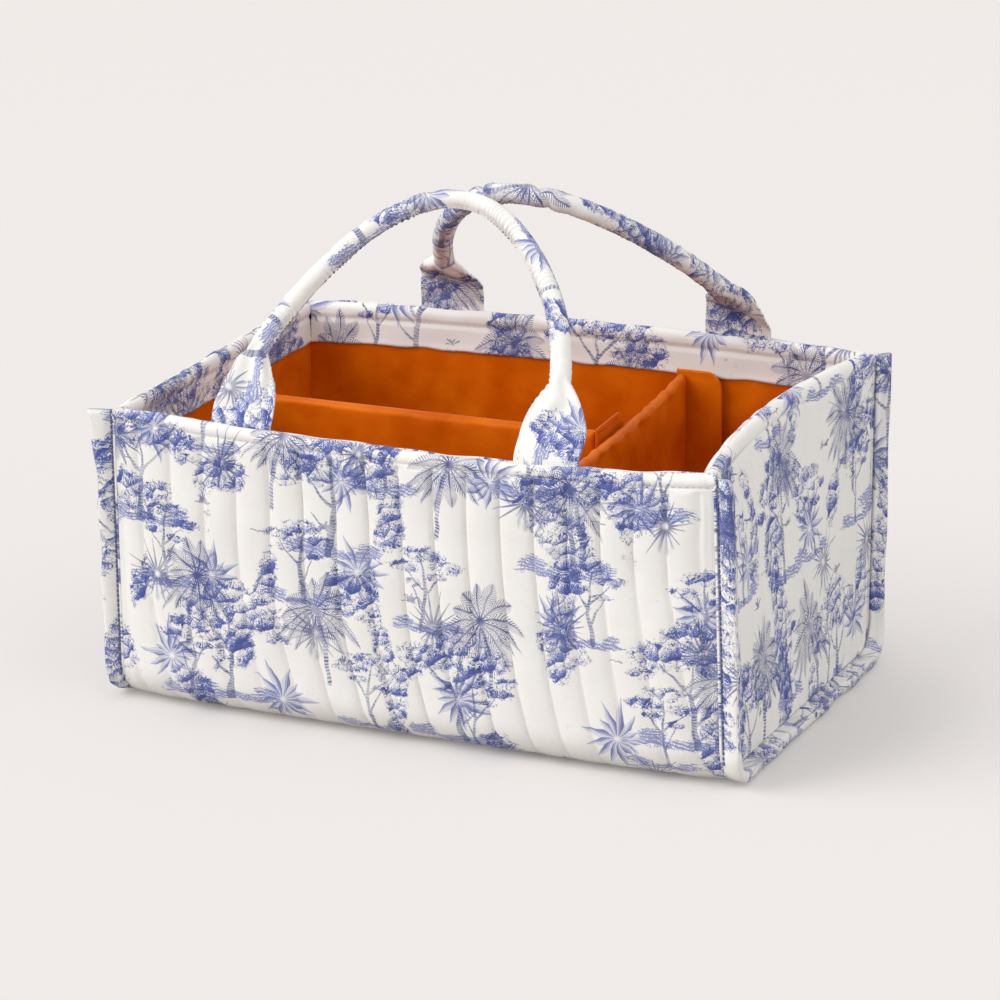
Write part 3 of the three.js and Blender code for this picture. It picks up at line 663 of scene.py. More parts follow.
def sideProfile():  # y, z, inset, outward y and z, depth under the rim: from the crest to mid floor
    rows = []
    for angle in np.linspace(math.radians(89), 0, 8)[:-1]:
        c, s, x, y = quarter(angle, 1, crestRadius)
        rows.append((halfDepth - crestRadius + x, wallHeight - crestRadius + y, crestRadius - x, c, s,
                     crestRadius * (1 - s), 1))
    top, belowRim, foot = wallHeight - crestRadius, wallHeight - outer["rimRows"], baseRadius
    for z in np.concatenate([np.linspace(top, belowRim, 15)[:-1], np.linspace(belowRim, foot, 49)]):
        rows.append((halfDepth, z, 0, 1, 0, wallHeight - z, 1))
    for angle in np.linspace(0, math.pi / 2, 10)[1:]:
        c, s, x, y = quarter(angle, 1, baseRadius)
        rows.append((halfDepth - baseRadius + x, foot - y, 0, c, -s, wallHeight, c ** 2))
    for share in (0.75, 0.5, 0.25, 0):
        rows.append(((halfDepth - baseRadius) * share, 0, 0, 0, -1, wallHeight, 0))
    return np.array(rows)


def columnStations(half, step, ends=(1.2, 3.5, 6.5)):  # even columns, closer beside the corners
    inner = half - ends[-1]
    middle = np.linspace(-inner, inner, int(2 * inner / step))
    return np.concatenate([[-half], [-half + e for e in ends[:-1]], middle, [half - e for e in ends[-2::-1]], [half]])


def wrapColumns():  # mesh columns that fall on the sewn lines
    first, step = outer["firstLine"], outer["linePitch"] / outer["columns"]
    low, high = math.ceil((3 - halfLength - first) / step), math.floor((halfLength - 3 - first) / step)
    middle = first + step * np.arange(low, high + 1)
    return np.concatenate([[-halfLength, 1.3 - halfLength], middle, [halfLength - 1.3, halfLength]])[None, :]


def quiltedPiece(name, place, raised, uv, across, loft, puff, *solids):
    base = place(raised)
    piece = shell(name, base, place(raised - outer["thickness"]), uv, cotton, {
        "across": across, "loft": loft, "outward": place(raised + 1) - base,
    })
    applyTree(piece, quilting, {"Channel width": outer["linePitch"], "Puff height": puff, "Material": cotton})
    fitted(piece, "basket", "printed_cloth", *solids)


def outerWrap():
    side = sideProfile()
    rows = np.concatenate([side * [-1, 1, 1, -1, 1, 1, 1], side[-2::-1]])
    y, z, inset, outY, outZ, depth, loft = rows.T[..., None]
    stations = wrapColumns()
    held = 1 - np.abs(stations / halfLength) ** 6  # the lines lean aside, the corners stay
    lean = lineShift(stations, y, z)
    x = stations / halfLength * (halfLength - inset - cornerGap) + lean * held * ease(0, 20, depth)
    run = runOf(rows[:, :2])
    upward = np.abs(run - run[len(side) - 1])[:, None]
    corner = halfLength - np.abs(x)
    raised = rimShape(depth, "long") - 0.6 * groove(corner - outer["cornerLine"], 1.6) * loft
    raised = raised - 1.5 * groove(corner, 1.5) * loft * ease(3, 9, depth)
    raised = raised + waves(x, run[:, None], 70, 5, outer["swell"][0]) * loft * ease(0, 30, corner)
    sewn = rimLook["long"][3]
    puffed = loft * ease(sewn, sewn + 4, depth) * ease(4, 12, corner)
    uneven = waves(x, 0 * x, 21, 9, outer["rimWave"]) * (1 - ease(0, 10, depth))
    quiltedPiece("wrap_cloth", lambda lift: stand(x, y + outY * lift, z + outZ * lift + uneven), raised,
                 pairs(x, upward), stations - lean * (1 - held) - outer["firstLine"], puffed + 0 * x, outer["puff"],
                 "outer_wrap", "padding_wrap")


def outerEnd(side, name):
    stations = columnStations(halfDepth - cornerGap, 1.5)
    past = np.maximum(0, np.abs(stations) - (halfDepth - baseRadius))
    rise = baseRadius - np.sqrt(np.maximum(0, (baseRadius - cornerGap) ** 2 - past ** 2))
    top, belowRim = wallHeight - crestRadius, wallHeight - outer["rimRows"]
    share = np.linspace(0, 1, 52)[:-1, None]
    wallZ = np.concatenate([rise + (belowRim - rise) * share, np.linspace(belowRim, top, 11)[:, None] + 0 * stations])
    arc = np.linspace(0, math.radians(89), 8)[1:, None] + 0 * stations
    arcX = halfLength - crestRadius + crestRadius * np.cos(arc)
    z = np.concatenate([wallZ, wallHeight - crestRadius + crestRadius * np.sin(arc)])
    x = np.concatenate([np.full_like(wallZ, halfLength), arcX])
    y = np.concatenate([stations + 0 * wallZ, stations / halfDepth * (halfDepth - (halfLength - arcX))])
    outX = np.concatenate([np.ones_like(wallZ), np.cos(arc)])
    outZ = np.concatenate([np.zeros_like(wallZ), np.sin(arc)])
    depth = wallHeight - z
    corner = np.minimum(halfDepth - np.abs(y), z)
    raised = rimShape(depth, "end") - 0.8 * groove(corner - outer["cornerLine"], 1.6)
    raised = raised + waves(y, z, 65, 11 + side, outer["swell"][1]) * ease(0, 30, corner)
    sewn = rimLook["end"][3]
    puffed = ease(sewn, sewn + 4, depth) * ease(4, 14, corner) * outer["endPuff"]
    across = y - outer["endLine"] + 1.2 * waves(z, y * 0.35, 60, 8 + side)
    uneven = waves(y, 0 * y, 21, 12 + side, outer["rimWave"]) * (1 - ease(0, 10, depth))
    cut = outer["endPrint"][side > 0]
    quiltedPiece(f"end_cloth_{name}", lambda lift: stand(side * (x + outX * lift), y, z + outZ * lift + uneven),
                 raised, pairs(side * y + cut[0], z + cut[1]), across, puffed, outer["puff"] * outer["endPuff"],
                 f"outer_end_{name}", f"padding_end_{name}")


seam = {
    "reach": 9.0, "half": 1.6, "sewn": 3.4, "wave": (0.5, 34),
    "frontReach": (8.5, 11.5), "frontLean": 15,  # the front ones lie over towards the ends; left, right
    "topReach": (5.5, -5.0), "topFade": (28, 6),  # how much further out, or less, they stand at the rim
    "sunk": 1.3,                          # how deep its foot lies in the front corner
    "print": ((408, 1025), (1092, 245)),  # where in the print each is cut
    "step": 3.0, "stitch": (2.6, 0.3, 1.5),
    "fold": (0.25, 6.5), "pinch": (0.45, 1.1),  # how deep and how long or wide
}


def seamPath():  # y, z, turn and side of the seam: down one corner, under the end, up the other
    path = [(halfDepth, z, 0.0) for z in np.linspace(wallHeight - 1.5, baseRadius, 52)]
    for angle in np.linspace(0, math.pi / 2, 12)[1:]:
        x, y = quarter(angle, baseRadius)
        path.append((halfDepth - baseRadius + x, baseRadius - y, angle))
    for share in np.linspace(1, 0, 34)[1:]:
        path.append(((halfDepth - baseRadius) * share, 0, math.pi / 2))
    return [(*p, -1) for p in path] + [(*p, 1) for p in path[-2::-1]]


def seamRing(side, run, y, z, angle, back):  # the points round the folded seam at one place of its path
    right, front, turn = side > 0, back < 0, math.sin(angle)
    lean = math.radians(seam["frontLean"] if front else 45) * (1 - turn)
    reach = seam["reach"] + (seam["frontReach"][right] - seam["reach"]) * front * (1 - turn)
    reach = reach + seam["topReach"][right] * front * math.exp(-(wallHeight - z) / seam["topFade"][right])
    (waveHigh, waveLong), (foldHigh, foldLong), (pinchDeep, pinchWide) = seam["wave"], seam["fold"], seam["pinch"]
    ripple = float(waves(run, 0.0, waveLong, 20 + side, waveHigh))
    half = seam["half"] * (1 + 0.8 * turn)
    fold = float(waves(run, 0.0, foldLong, 25, foldHigh)) * (0.4 + turn)
    sides = np.linspace(0, 1, 9)
    ring, row = [], []
    # out along one face, round the edge and back
    for t, across in [(t, 1) for t in sides] + [(1.06, 0.45), (1.06, -0.45)] + [(t, -1) for t in sides[::-1]]:
        out = t * reach
        pinch = 1 - pinchDeep * float(groove(out - seam["sewn"], pinchWide)) * (1 - turn)
        sunk = front * (1 - turn) * (1 - float(ease(0.8, 3.6, out)))
        thick = across * ((half + fold) * pinch + (0.35 if t < 0.9 else 0)) * (1 - 0.8 * sunk)
        edge = out + ripple * t
        fromX = edge * math.cos(lean) - thick * math.sin(lean)
        fromN = edge * math.sin(lean) + thick * math.cos(lean) - (half + 0.9) * turn ** 3 - seam["sunk"] * sunk
        ring.append((side * (halfLength + fromX), back * (y + fromN * math.cos(angle)),
                     max(0.0, z - fromN * math.sin(angle))))
        row.append((across * out + seam["print"][right][0], run + seam["print"][right][1]))
    return ring, row


def cornerSeam(side, name):
    made = [seamRing(side, k * seam["step"], *place) for k, place in enumerate(seamPath())]
    rings, uv = (np.array(part) for part in zip(*made))
    rings = stand(rings[..., 0], rings[..., 1], rings[..., 2])
    rows, columns = rings.shape[:2]
    points = rings.reshape(-1, 3)
    first = np.arange(rows - 1) * columns
    closing = np.stack([first + columns - 1, first, first + columns, first + 2 * columns - 1], -1)
    caps = []
    for start in (0, (rows - 1) * columns):
        for k in range(columns // 2 - 1):
            quad = [start + k, start + k + 1, start + columns - 2 - k, start + columns - 1 - k]
            caps.append(quad if start else quad[::-1])
    faces = np.concatenate([gridFaces(rows, columns), closing, np.array(caps)])
    piece = makePiece(f"corner_seam_cloth_{name}", points, outwardFaces(points, faces), uv.reshape(-1, 2), cotton)
    fitted(piece, "basket", "printed_cloth", f"corner_seam_{name}")
    heights = np.linspace(wallHeight - 3, baseRadius * 0.7, 90)
    line = stand(side * (halfLength + 0.6), -(halfDepth - 0.3), heights)
    # these dark stitches are partly painted shade along the corner groove
    stitches(f"corner_stitches_{name}", [line], inkAndShadeThread, "basket", seam["stitch"])


outerWrap()
for side, name in ((-1, "left"), (1, "right")):
    outerEnd(side, name)
    cornerSeam(side, name)
print("outer cloth ready")


inside = {
    "facing": 24, "facingCut": 28.5, "facingThickness": 1.3,
    "facingWaves": (0.3, 0.35, 0.3),  # how uneven its face, its lower edge and its top are
    "wrinkle": 1.3, "floor": 11.25, "satinThickness": 0.7,
    "corner": 1.1,  # how far the lining reaches into the corners
    # where in the print each facing is cut
    "print": {"front": (114, 46), "back": (868, 511), "left": (285, 115), "right": (342, 138)},
}
liningTop = wallHeight - inside["facing"] + 2


def mm(*sizes):
    return tuple(size / 1000 for size in sizes)


def acrossWall(side):
    return lambda along, inset, z: stand(along, side * (halfDepth - inset), z)


def endWall(side):
    return lambda along, inset, z: stand(side * (halfLength - inset), along, z)


def facingRows():  # inset, z, outward inset and z, depth: over the crest and down the inside
    rows = []
    for angle in np.linspace(math.radians(91), math.pi, 8)[:-1]:
        c, s, x, y = quarter(angle, 1, crestRadius)
        rows.append((crestRadius - x, wallHeight - crestRadius + y, -c, s, crestRadius * (1 - s)))
    for z in np.linspace(wallHeight - crestRadius, wallHeight - inside["facing"], 16):
        rows.append((wallThickness, z, 1, 0, wallHeight - z))
    return np.array(rows)


def facing(name, place, half, seed):  # place takes along, inset and z
    inset, z, outI, outZ, depth = facingRows().T[..., None]
    along = columnStations(half, 2.2, (0.8, 2, 4)) / half * (half - inset - cornerGap)
    hem = 0.35 + 0.35 * ease(0, 3, depth - inside["facing"] + 4)
    raised = rimShape(depth, "facing") + hem * ease(4, 12, depth)
    faceWave, edgeWave, topWave = inside["facingWaves"]
    raised = raised + waves(along, depth, 30, seed, faceWave) * ease(3, 9, depth)
    low = waves(along, 0 * along, 26, seed + 1, edgeWave) * ease(inside["facing"] - 6, inside["facing"], depth)
    low = low + waves(along, 0 * along, 24, seed + 9, topWave) * (1 - ease(0, 8, depth))
    grid, inner = (place(along, inset + outI * lift, z + outZ * lift + low)
                   for lift in (raised, raised - inside["facingThickness"]))
    cut = inside["print"][name]
    piece = shell(f"facing_cloth_{name}", grid, inner, pairs(along + cut[0], z + cut[1]), cotton)
    fitted(piece, "basket", "printed_cloth", f"facing_{name}")
    mm(2 * half, inside["facingCut"])


def softness(u, v, size, seed, depth):  # the lining's loose folds, none at its sewn top
    return inside["wrinkle"] * waves(u, v, size, seed) * ease(0, 25, depth)


def liningWrap():
    radius = baseRadius - wallThickness + 0.6
    rows = [(insideY, z, 1, 0) for z in np.linspace(liningTop, inside["floor"] + radius, 46)]
    for angle in np.linspace(0, math.pi / 2, 7)[1:]:
        c, s, x, y = quarter(angle, 1, radius)
        rows.append((insideY - radius + x, inside["floor"] + radius - y, c, -s))
    for share in np.linspace(1, 0, 22)[1:]:
        rows.append(((insideY - radius) * share, inside["floor"], 0, -1))
    side = np.array(rows)
    rows = np.concatenate([side * [-1, 1, -1, 1], side[-2::-1]])
    y, z, outY, outZ = rows.T[..., None]
    along = runOf(rows[:, :2])[:, None]
    x = columnStations(insideX + inside["corner"], 4.0)[None, :]
    depth = liningTop - z
    soft = softness(x, along * 0.35, 46, 31, depth) + 0.5 * softness(x, along, 17, 32, depth)
    out = 0.5 - soft * 0.5 * ease(0, 20, insideX - np.abs(x))
    out = np.where(z < inside["floor"] + 2, np.clip(out, -0.7, 0.1), out)  # on the board it can't sink in
    grid = stand(x, y + outY * out, z + outZ * out * (z < 20))
    out = out + inside["satinThickness"]
    inner = stand(x, y + outY * out, z + outZ * out)
    piece = shell("lining_cloth_wrap", grid, inner, pairs(x + 0 * along, along + 0 * x), satin)
    fitted(piece, "basket", "satin_lining", "lining_wrap")
    mm(2 * insideX, float(along[-1, 0]))


def liningEnd(side, name):
    radius = baseRadius - wallThickness
    y = columnStations(insideY + inside["corner"], 4.0)[None, :]
    past = np.maximum(0, np.abs(y) - (insideY - radius))
    foot = inside["floor"] + radius - np.sqrt(np.maximum(0, radius ** 2 - past ** 2))
    z = foot + (liningTop - foot) * np.linspace(0, 1, 42)[:, None]
    soft = softness(y + 0 * z, z * 0.5, 44, 41 + side, liningTop - z)
    out = 0.5 - soft * 0.5 * ease(0, 20, insideY - np.abs(y))
    grid, inner = (stand(side * (insideX + lift), y, z) for lift in (out, out + inside["satinThickness"]))
    piece = shell(f"lining_cloth_{name}", grid, inner, pairs(y + 0 * z + 500, z), satin)
    fitted(piece, "basket", "satin_lining", f"lining_end_{name}")
    wide, high = 2 * insideY, liningTop - inside["floor"]
    mm(wide, high)
    (wide * high - (2 - math.pi / 2) * radius ** 2) * 1e-6


facing("front", acrossWall(-1), halfLength, 2)
facing("back", acrossWall(1), halfLength, 3)
facing("left", endWall(-1), halfDepth, 5)
facing("right", endWall(1), halfDepth, 6)
liningWrap()
liningEnd(-1, "left")
liningEnd(1, "right")
print("lining ready")


divider = {
    "cross": 68, "crossHeight": 158, "sag": 7.5, "long": 4, "longHeight": 154,
    "half": 3.85, "edge": 3.8, "bottom": 11.6, "corner": 17.0, "fill": 0.4, "crossGap": 1.55, "longGap": 1.2,
    "flapDepth": 4.2, "flapHalf": 0.85, "flapEdge": 1.2, "flapRound": 10, "flapFoot": 6, "flapHem": 2.6,
    "crossFlap": (25, 158), "longFlap": (36, 156), "flapStitch": (2.2, 0.7, 0.35),
    "loopDepth": 0.85, "hookDepth": 2.65, "tapeHalf": 0.5, "tapeEdge": 0.8, "tapeWidth": 18, "tapeFoot": 35,
    "tapeGap": 1.5, "crossTape": 145, "longTape": 133,
}
crossX, longY, padHalf, floorZ = divider["cross"], divider["long"], divider["half"], divider["bottom"]


def closeSteps(low, high, edge, step):  # stations that gather at both ends
    fine = edge * (1 - np.cos(np.linspace(0, math.pi / 2, 5)))
    middle = np.linspace(low + edge, high - edge, max(2, int((high - low - 2 * edge) / step)))
    return np.concatenate([low + fine[:-1], middle, (high - fine[:-1])[::-1]])


# a flat pad or sheet between low and high, rounded towards its edges; bend moves it aside, cutIn rounds one end
def plate(name, low, high, bottomOf, topOf, half, edge, place, material, bend=None, sewn=3.0, step=4.0, cutIn=None):
    u = closeSteps(0, 1, edge / (high - low), step / (high - low))[None, :]
    v = closeSteps(0, 1, edge / 140, step / 140)[:, None]
    along = low + (high - low) * u
    z = bottomOf(along) + (topOf(along) - bottomOf(along)) * v
    cut = 0 if cutIn is None else cutIn(z)
    along = along - (along - low) / (high - low) * cut
    sides = np.broadcast_arrays(along - low, high - cut - along, topOf(along) - z, z - bottomOf(along))
    distance = np.maximum(0, np.minimum.reduce(sides))
    rounded = np.sqrt(1 - np.clip(1 - distance / edge, 0, 1) ** 2)
    thick = half * rounded * (1 - 0.3 * groove(distance - sewn, 0.9))
    middle = 0 if bend is None else bend(along, z) * ease(0, 8, distance)
    return weld(shell(name, place(along, middle + thick, z), place(along, middle - thick, z),
                      pairs(along + 0 * z, z + 0 * along), material))


def level(height):
    return lambda along: height + 0 * along


def crossPlace(along, across, z):
    sag = divider["sag"] * (1 - np.abs(along / halfDepth) ** 3)
    return stand(crossX + across, along, z - sag * (z - floorZ) / (divider["crossHeight"] - floorZ))


def longPlace(along, across, z):
    return stand(along, longY + across, z)


def crossFoot(along):  # the pad's lower corners follow the floor's
    past = np.maximum(0, np.abs(along) - (insideY - 0.35 - divider["corner"]))
    return floorZ + divider["corner"] - np.sqrt(np.maximum(0, divider["corner"] ** 2 - past ** 2))


def wallPlace(side, more=0.0):  # more is how much further from the wall than the flap, as in the next two
    return lambda along, depth, z: stand(along, side * (insideY - depth - divider["flapDepth"] - more), z)


def leftPlace(more=0.0):
    return lambda along, depth, z: stand(-(insideX - depth - divider["flapDepth"] - more), along, z)


def onCrossPlace(more=0.0):
    return lambda along, depth, z: stand(crossX - padHalf - depth - divider["flapDepth"] - more, along, z)


def flap(kind, end, middle, place):  # turns from the end of a divider and hangs along a wall
    name, body = f"{kind}_flap_{end}", f"{kind}_divider"
    wide, top = divider[f"{kind}Flap"]
    low, high = middle - padHalf, middle + wide
    bottom, radius = floorZ + divider["flapFoot"], divider["flapRound"]

    def cutIn(z):
        past = np.maximum(0, np.maximum(radius - (top - z), radius - (z - bottom)))
        return radius - np.sqrt(np.maximum(0, radius ** 2 - past ** 2))

    piece = plate(name, low, high, level(bottom), level(top), divider["flapHalf"], divider["flapEdge"], place, satin,
                  sewn=3.2, step=2.0, cutIn=cutIn,
                  bend=lambda a, z: waves(a, z, 24, 50, 0.5) * ease(low, low + 15, a))
    fitted(piece, body, "satin_lining", f"{body}_flap_{end}")
    mm(high - low, top - bottom)
    hem, face = divider["flapHem"], -divider["flapHalf"]
    heights = np.linspace(bottom + 1, top - hem, 60)
    line = place(high - cutIn(np.clip(heights, bottom, top)) - hem, face, heights)
    across = np.linspace(low + 1, high - radius, 12)
    topLine = place(across, face, np.full_like(across, top - hem))
    stitches(f"{name}_stitches", [line[:52], topLine], rustThread, body, divider["flapStitch"])


def pad(body, low, high, foot, top, place, **more):
    piece = plate(f"{body}_pad", low, high, foot, top, padHalf, divider["edge"], place, satin, **more)
    fitted(piece, body, "satin_lining", f"{body}_cover", f"{body}_core")


def crossFolds(along, z):  # slanting folds, and short ones that hang from the top edge
    near = np.exp((z - divider["crossHeight"]) / 30)
    return (0.9 * waves(along + z * 0.6, z - along * 0.4, 40, 61) + 0.5 * waves(along, z * 0.3, 15, 62)
            + 1.1 * near * waves(along + 0.3 * z, z * 0.1, 12, 63))


def longFolds(along, z):
    return 0.8 * waves(along, z * 0.7, 60, 71) + 0.4 * waves(along, z * 0.4, 19, 72)


crossReach = insideY - divider["flapDepth"] - divider["crossGap"]
pad("cross_divider", -crossReach, crossReach, crossFoot, lambda a: waves(a, 0 * a, 9, 66, 0.4) + divider["crossHeight"],
    crossPlace, step=2.4, sewn=5, bend=crossFolds)
for side, name in ((-1, "front"), (1, "back")):
    flap("cross", name, crossX, wallPlace(side))
longStart, longEnd = (reach - divider["flapDepth"] - divider["longGap"] for reach in (insideX, crossX - padHalf))
pad("long_divider", -longStart, longEnd, level(floorZ), level(divider["longHeight"]), longPlace, step=3.6, sewn=9,
    bend=longFolds)
for name, place in (("left", leftPlace()), ("right", onCrossPlace())):
    flap("long", name, longY, place)
print("dividers ready")


def tape(name, start, top, place, body, solid):
    low = start + padHalf + divider["tapeGap"]
    piece = plate(name, low, low + divider["tapeWidth"], level(divider["tapeFoot"]), level(top), divider["tapeHalf"],
                  divider["tapeEdge"], place, hookTape, sewn=2, step=3.0)
    fitted(piece, body, "fastener", solid)


loopBack, hookBack = (divider[depth] - divider["flapDepth"] for depth in ("loopDepth", "hookDepth"))
for side, name in ((-1, "front"), (1, "back")):
    tape(f"loop_tape_{name}", crossX, divider["crossTape"], wallPlace(side, loopBack), "basket",
         f"loop_strip_{name}")
    tape(f"cross_hook_tape_{name}", crossX, divider["crossTape"], wallPlace(side, hookBack), "cross_divider",
         f"cross_divider_hook_{name}")
for name, place, body, solid in (
    ("loop_tape_left", leftPlace(loopBack), "basket", "loop_strip_left"),
    ("cross_loop_tape", onCrossPlace(loopBack), "cross_divider", "cross_divider_loop"),
    ("long_hook_tape_left", leftPlace(hookBack), "long_divider", "long_divider_hook_left"),
    ("long_hook_tape_right", onCrossPlace(hookBack), "long_divider", "long_divider_hook_right"),
):
    tape(name, longY, divider["longTape"], place, body, solid)


handle = {
    "spacing": 184, "tabHalf": 1.0, "root": 12, "around": 48, "hem": 2.6, "stitch": (2.2, 0.9, 0.45), "fill": 0.8,
    "ripple": (0.36, 3.1), "dents": (0.34, 13), "seam": 0.7,  # how high, and how long
    "seamStart": 64, "seamAside": 0.9,  # how far along the handle its stitches start, and how far beside it
}
handles = {  # a pair of values is for the left foot and the right foot
    "front": {"back": -1, "shift": -12, "tilt": 44, "aside": -8, "rise": 155.5, "hinge": 2.7, "fold": (-5, 6),
              "tabWidth": (37, 38), "tab": (10, 16), "neck": (36, 31), "taper": 1.6, "tube": 5.95, "slim": 0.7,
              "foldSlope": (0, 0), "foldDrop": (0, 0), "seed": 80, "kinks": [(0.115, 0.7), (0.47, 0.5), (0.3, 0.3)],
              "creases": (2.3, 1.4), "anchor": 0.25, "blend": 5, "print": (336, 20), "crossCut": True},
    "back": {"back": 1, "shift": 7.5, "tilt": 55, "aside": 5, "rise": 145, "hinge": 18.7, "fold": (-1.5, 3),
             "tabWidth": (41, 41), "tab": (4, 4), "neck": (27, 27), "taper": 1.15, "tube": 5.9, "slim": 0.2,
             "foldSlope": (-0.15, -0.36), "foldDrop": (0, -5), "seed": 90,
             "kinks": [(0.44, 1.6), (0.54, 1.2), (0.82, 0.5)], "creases": (0.9, 1.1), "anchor": 0.75, "blend": 3,
             "print": (606, 684), "crossCut": False},
}
outlines = {  # from the feet up: shares of the rise, and of half the spacing on the left and on the right
    "front": ((0, 0.1, 0.2, 0.3, 0.4, 0.5, 0.6, 0.7, 0.8, 0.9, 0.975),
              (1, 1.02, 1.04, 1.03, 0.975, 0.9, 0.815, 0.71, 0.59, 0.42, 0.215),
              (1, 0.995, 0.98, 0.96, 0.925, 0.875, 0.8, 0.7, 0.575, 0.405, 0.21)),
    "back": ((0, 0.07, 0.14, 0.22, 0.33, 0.465, 0.6, 0.73, 0.866, 0.967),
             (1, 1, 0.975, 0.935, 0.885, 0.81, 0.71, 0.59, 0.42, 0.215),
             (1, 1, 0.975, 0.935, 0.885, 0.81, 0.71, 0.59, 0.42, 0.215)),
}


def archPath(key, spec):  # the centre line in the handle's own plane, in even steps
    half, rise = handle["spacing"] / 2, spec["rise"]
    up, *sides = outlines[key]
    left, right = ([(end * u * half, v * rise) for u, v in zip(out, up)] for end, out in zip((-1, 1), sides))
    knots = np.array(left + [(0, rise)] + right[::-1])
    knots = np.concatenate([[2 * knots[0] - knots[1]], knots, [2 * knots[-1] - knots[-2]]])
    points = []
    for k in range(1, len(knots) - 2):
        a, b, c, d = knots[k - 1:k + 3]
        for t in np.linspace(0, 1, 40, endpoint=False):
            points.append(0.5 * (2 * b + (c - a) * t + (2 * a - 5 * b + 4 * c - d) * t * t
                                 + (3 * b - a - 3 * c + d) * t ** 3))
    points = np.array(points + [knots[-2]])
    run = runOf(points)
    even = np.linspace(0, run[-1], 900)
    return even, np.stack([np.interp(even, run, points[:, k]) for k in (0, 1)], -1)


def handleFrame(spec):  # the middle of the fold line, and the ways across, inward and up
    feet = [stand(spec["shift"] + end * handle["spacing"] / 2, spec["back"] * (halfDepth - crestRadius), wallHeight)
            for end in (-1, 1)]
    middle = (feet[0] + feet[1]) / 2 + [0, 0, spec["hinge"]]
    across = (feet[1] - feet[0]) / np.linalg.norm(feet[1] - feet[0])
    inward = np.cross([0, 0, -spec["back"]], across)
    inward = inward / np.linalg.norm(inward)
    return middle, across, inward, np.cross(across, inward) * -spec["back"]


def placeHandle(spec, u, v, w):  # the sewn tab stands straight, and the handle leans from the fold on
    middle, across, inward, rise = handleFrame(spec)
    tilt = math.radians(spec["tilt"])
    foot = np.where(u < 0, -1, 1) * handle["spacing"] / 2
    slope = np.where(u < 0, *spec["foldSlope"])
    drop = (slope * np.clip(u - foot, -21, 21) + np.where(u < 0, *spec["foldDrop"])) * (1 - ease(0, 30, v))
    steps = np.linspace(-20, 10, 151)  # the bend, from well under the fold to well over it
    turned = tilt * ease(*spec["fold"], steps)
    between = (turned[1:] + turned[:-1]) / 2
    run = v - drop
    reached = []
    for part in (math.cos, math.sin):
        bent = np.concatenate([[0], np.cumsum([part(turn) * 0.2 for turn in between])])
        bent = bent - bent[-1] + 10 * part(tilt)
        reached.append(np.where(run > 10, run * part(tilt), np.interp(run, steps, bent)))
    bend = tilt * ease(*spec["fold"], run)
    aside = u + spec["aside"] * np.maximum(0, v / spec["rise"] - 0.1)
    up = reached[0] + np.minimum(0, run + 20) + drop + w * np.sin(bend)
    into = reached[1] - w * np.cos(bend)
    return middle + aside[..., None] * across + up[..., None] * rise + into[..., None] * inward


def handleLine(key, spec):  # stations along the handle, their place and direction in its plane
    even, line = archPath(key, spec)
    total = even[-1]
    root = handle["root"] + spec["hinge"]
    stations = np.concatenate([
        np.linspace(-root, -3, 14)[:-1], np.linspace(-3, 75, 79)[:-1],
        np.linspace(75, total - 75, 520)[:-1], np.linspace(total - 75, total + 3, 79)[:-1],
        np.linspace(total + 3, total + root, 14),
    ])
    inPath = np.clip(stations, 0, total)
    here, after, before = (np.stack([np.interp(inPath + step, even, line[:, k]) for k in (0, 1)])
                           for step in (0, 0.5, -0.5))
    x, y = here
    dirX, dirY = (after - before) / np.hypot(*(after - before))
    y = y + np.minimum(0, stations) + np.minimum(0, total - stations)
    return stations, total, x, y, dirX, dirY


def handleSizes(spec, stations, total):  # half width, half thickness and how much of a tube it is by now
    foot = np.minimum(stations, total - stations)
    tab, neckLength, tabWidth, creased = (np.where(stations < total / 2, *spec[part])
                                          for part in ("tab", "neck", "tabWidth", "creases"))
    share = np.clip((foot - tab) / neckLength, 0, 1)
    neck = ease(0, 1, share)
    slim = share ** spec["taper"]
    radius = spec["tube"] - spec["slim"] * np.sin(math.pi * np.clip(stations / total, 0, 1)) ** 2
    wide = tabWidth / 2 * (1 - slim) + radius * slim
    thick = handle["tabHalf"] * (1 - neck) + radius * neck
    gather = creased * np.sin(math.pi * np.clip((foot - tab + 6) / (neckLength + 12), 0, 1))
    return foot, wide, thick, neck, gather


def handleCreases(spec, far, angle, total):  # ripples, dents, the sewn seam inside the arch and the kinks
    c, s = np.cos(angle), np.sin(angle)
    inner = (0.5 + 0.5 * c) ** 1.3
    draw = spec["seed"]
    (rippleHigh, ripplePitch), (dentHigh, dentLong) = handle["ripple"], handle["dents"]
    ripple = np.sin(2 * math.pi / ripplePitch * (far + 1.8 * waves(far, angle * 3, 19, draw)))
    strength = 0.55 + 0.5 * waves(far, 0 * far, 36, draw + 1)
    bumps = rippleHigh * ripple * (0.4 + inner) * np.clip(strength, 0.1, 1.5)
    bumps = bumps + waves(far, 6 * angle + 0 * far, dentLong, draw + 2, dentHigh) * (0.5 - 0.5 * c ** 8)
    bumps = bumps + handle["seam"] * groove(np.minimum(angle, 2 * math.pi - angle), 0.12)
    for place, depth in spec["kinks"]:
        away = far - place * total + 4 * s
        bumps = bumps - depth * (1.3 * groove(away, 2.0) - 0.4 * groove(np.abs(away) - 7, 4)) * (1 - 0.65 * inner)
    return bumps


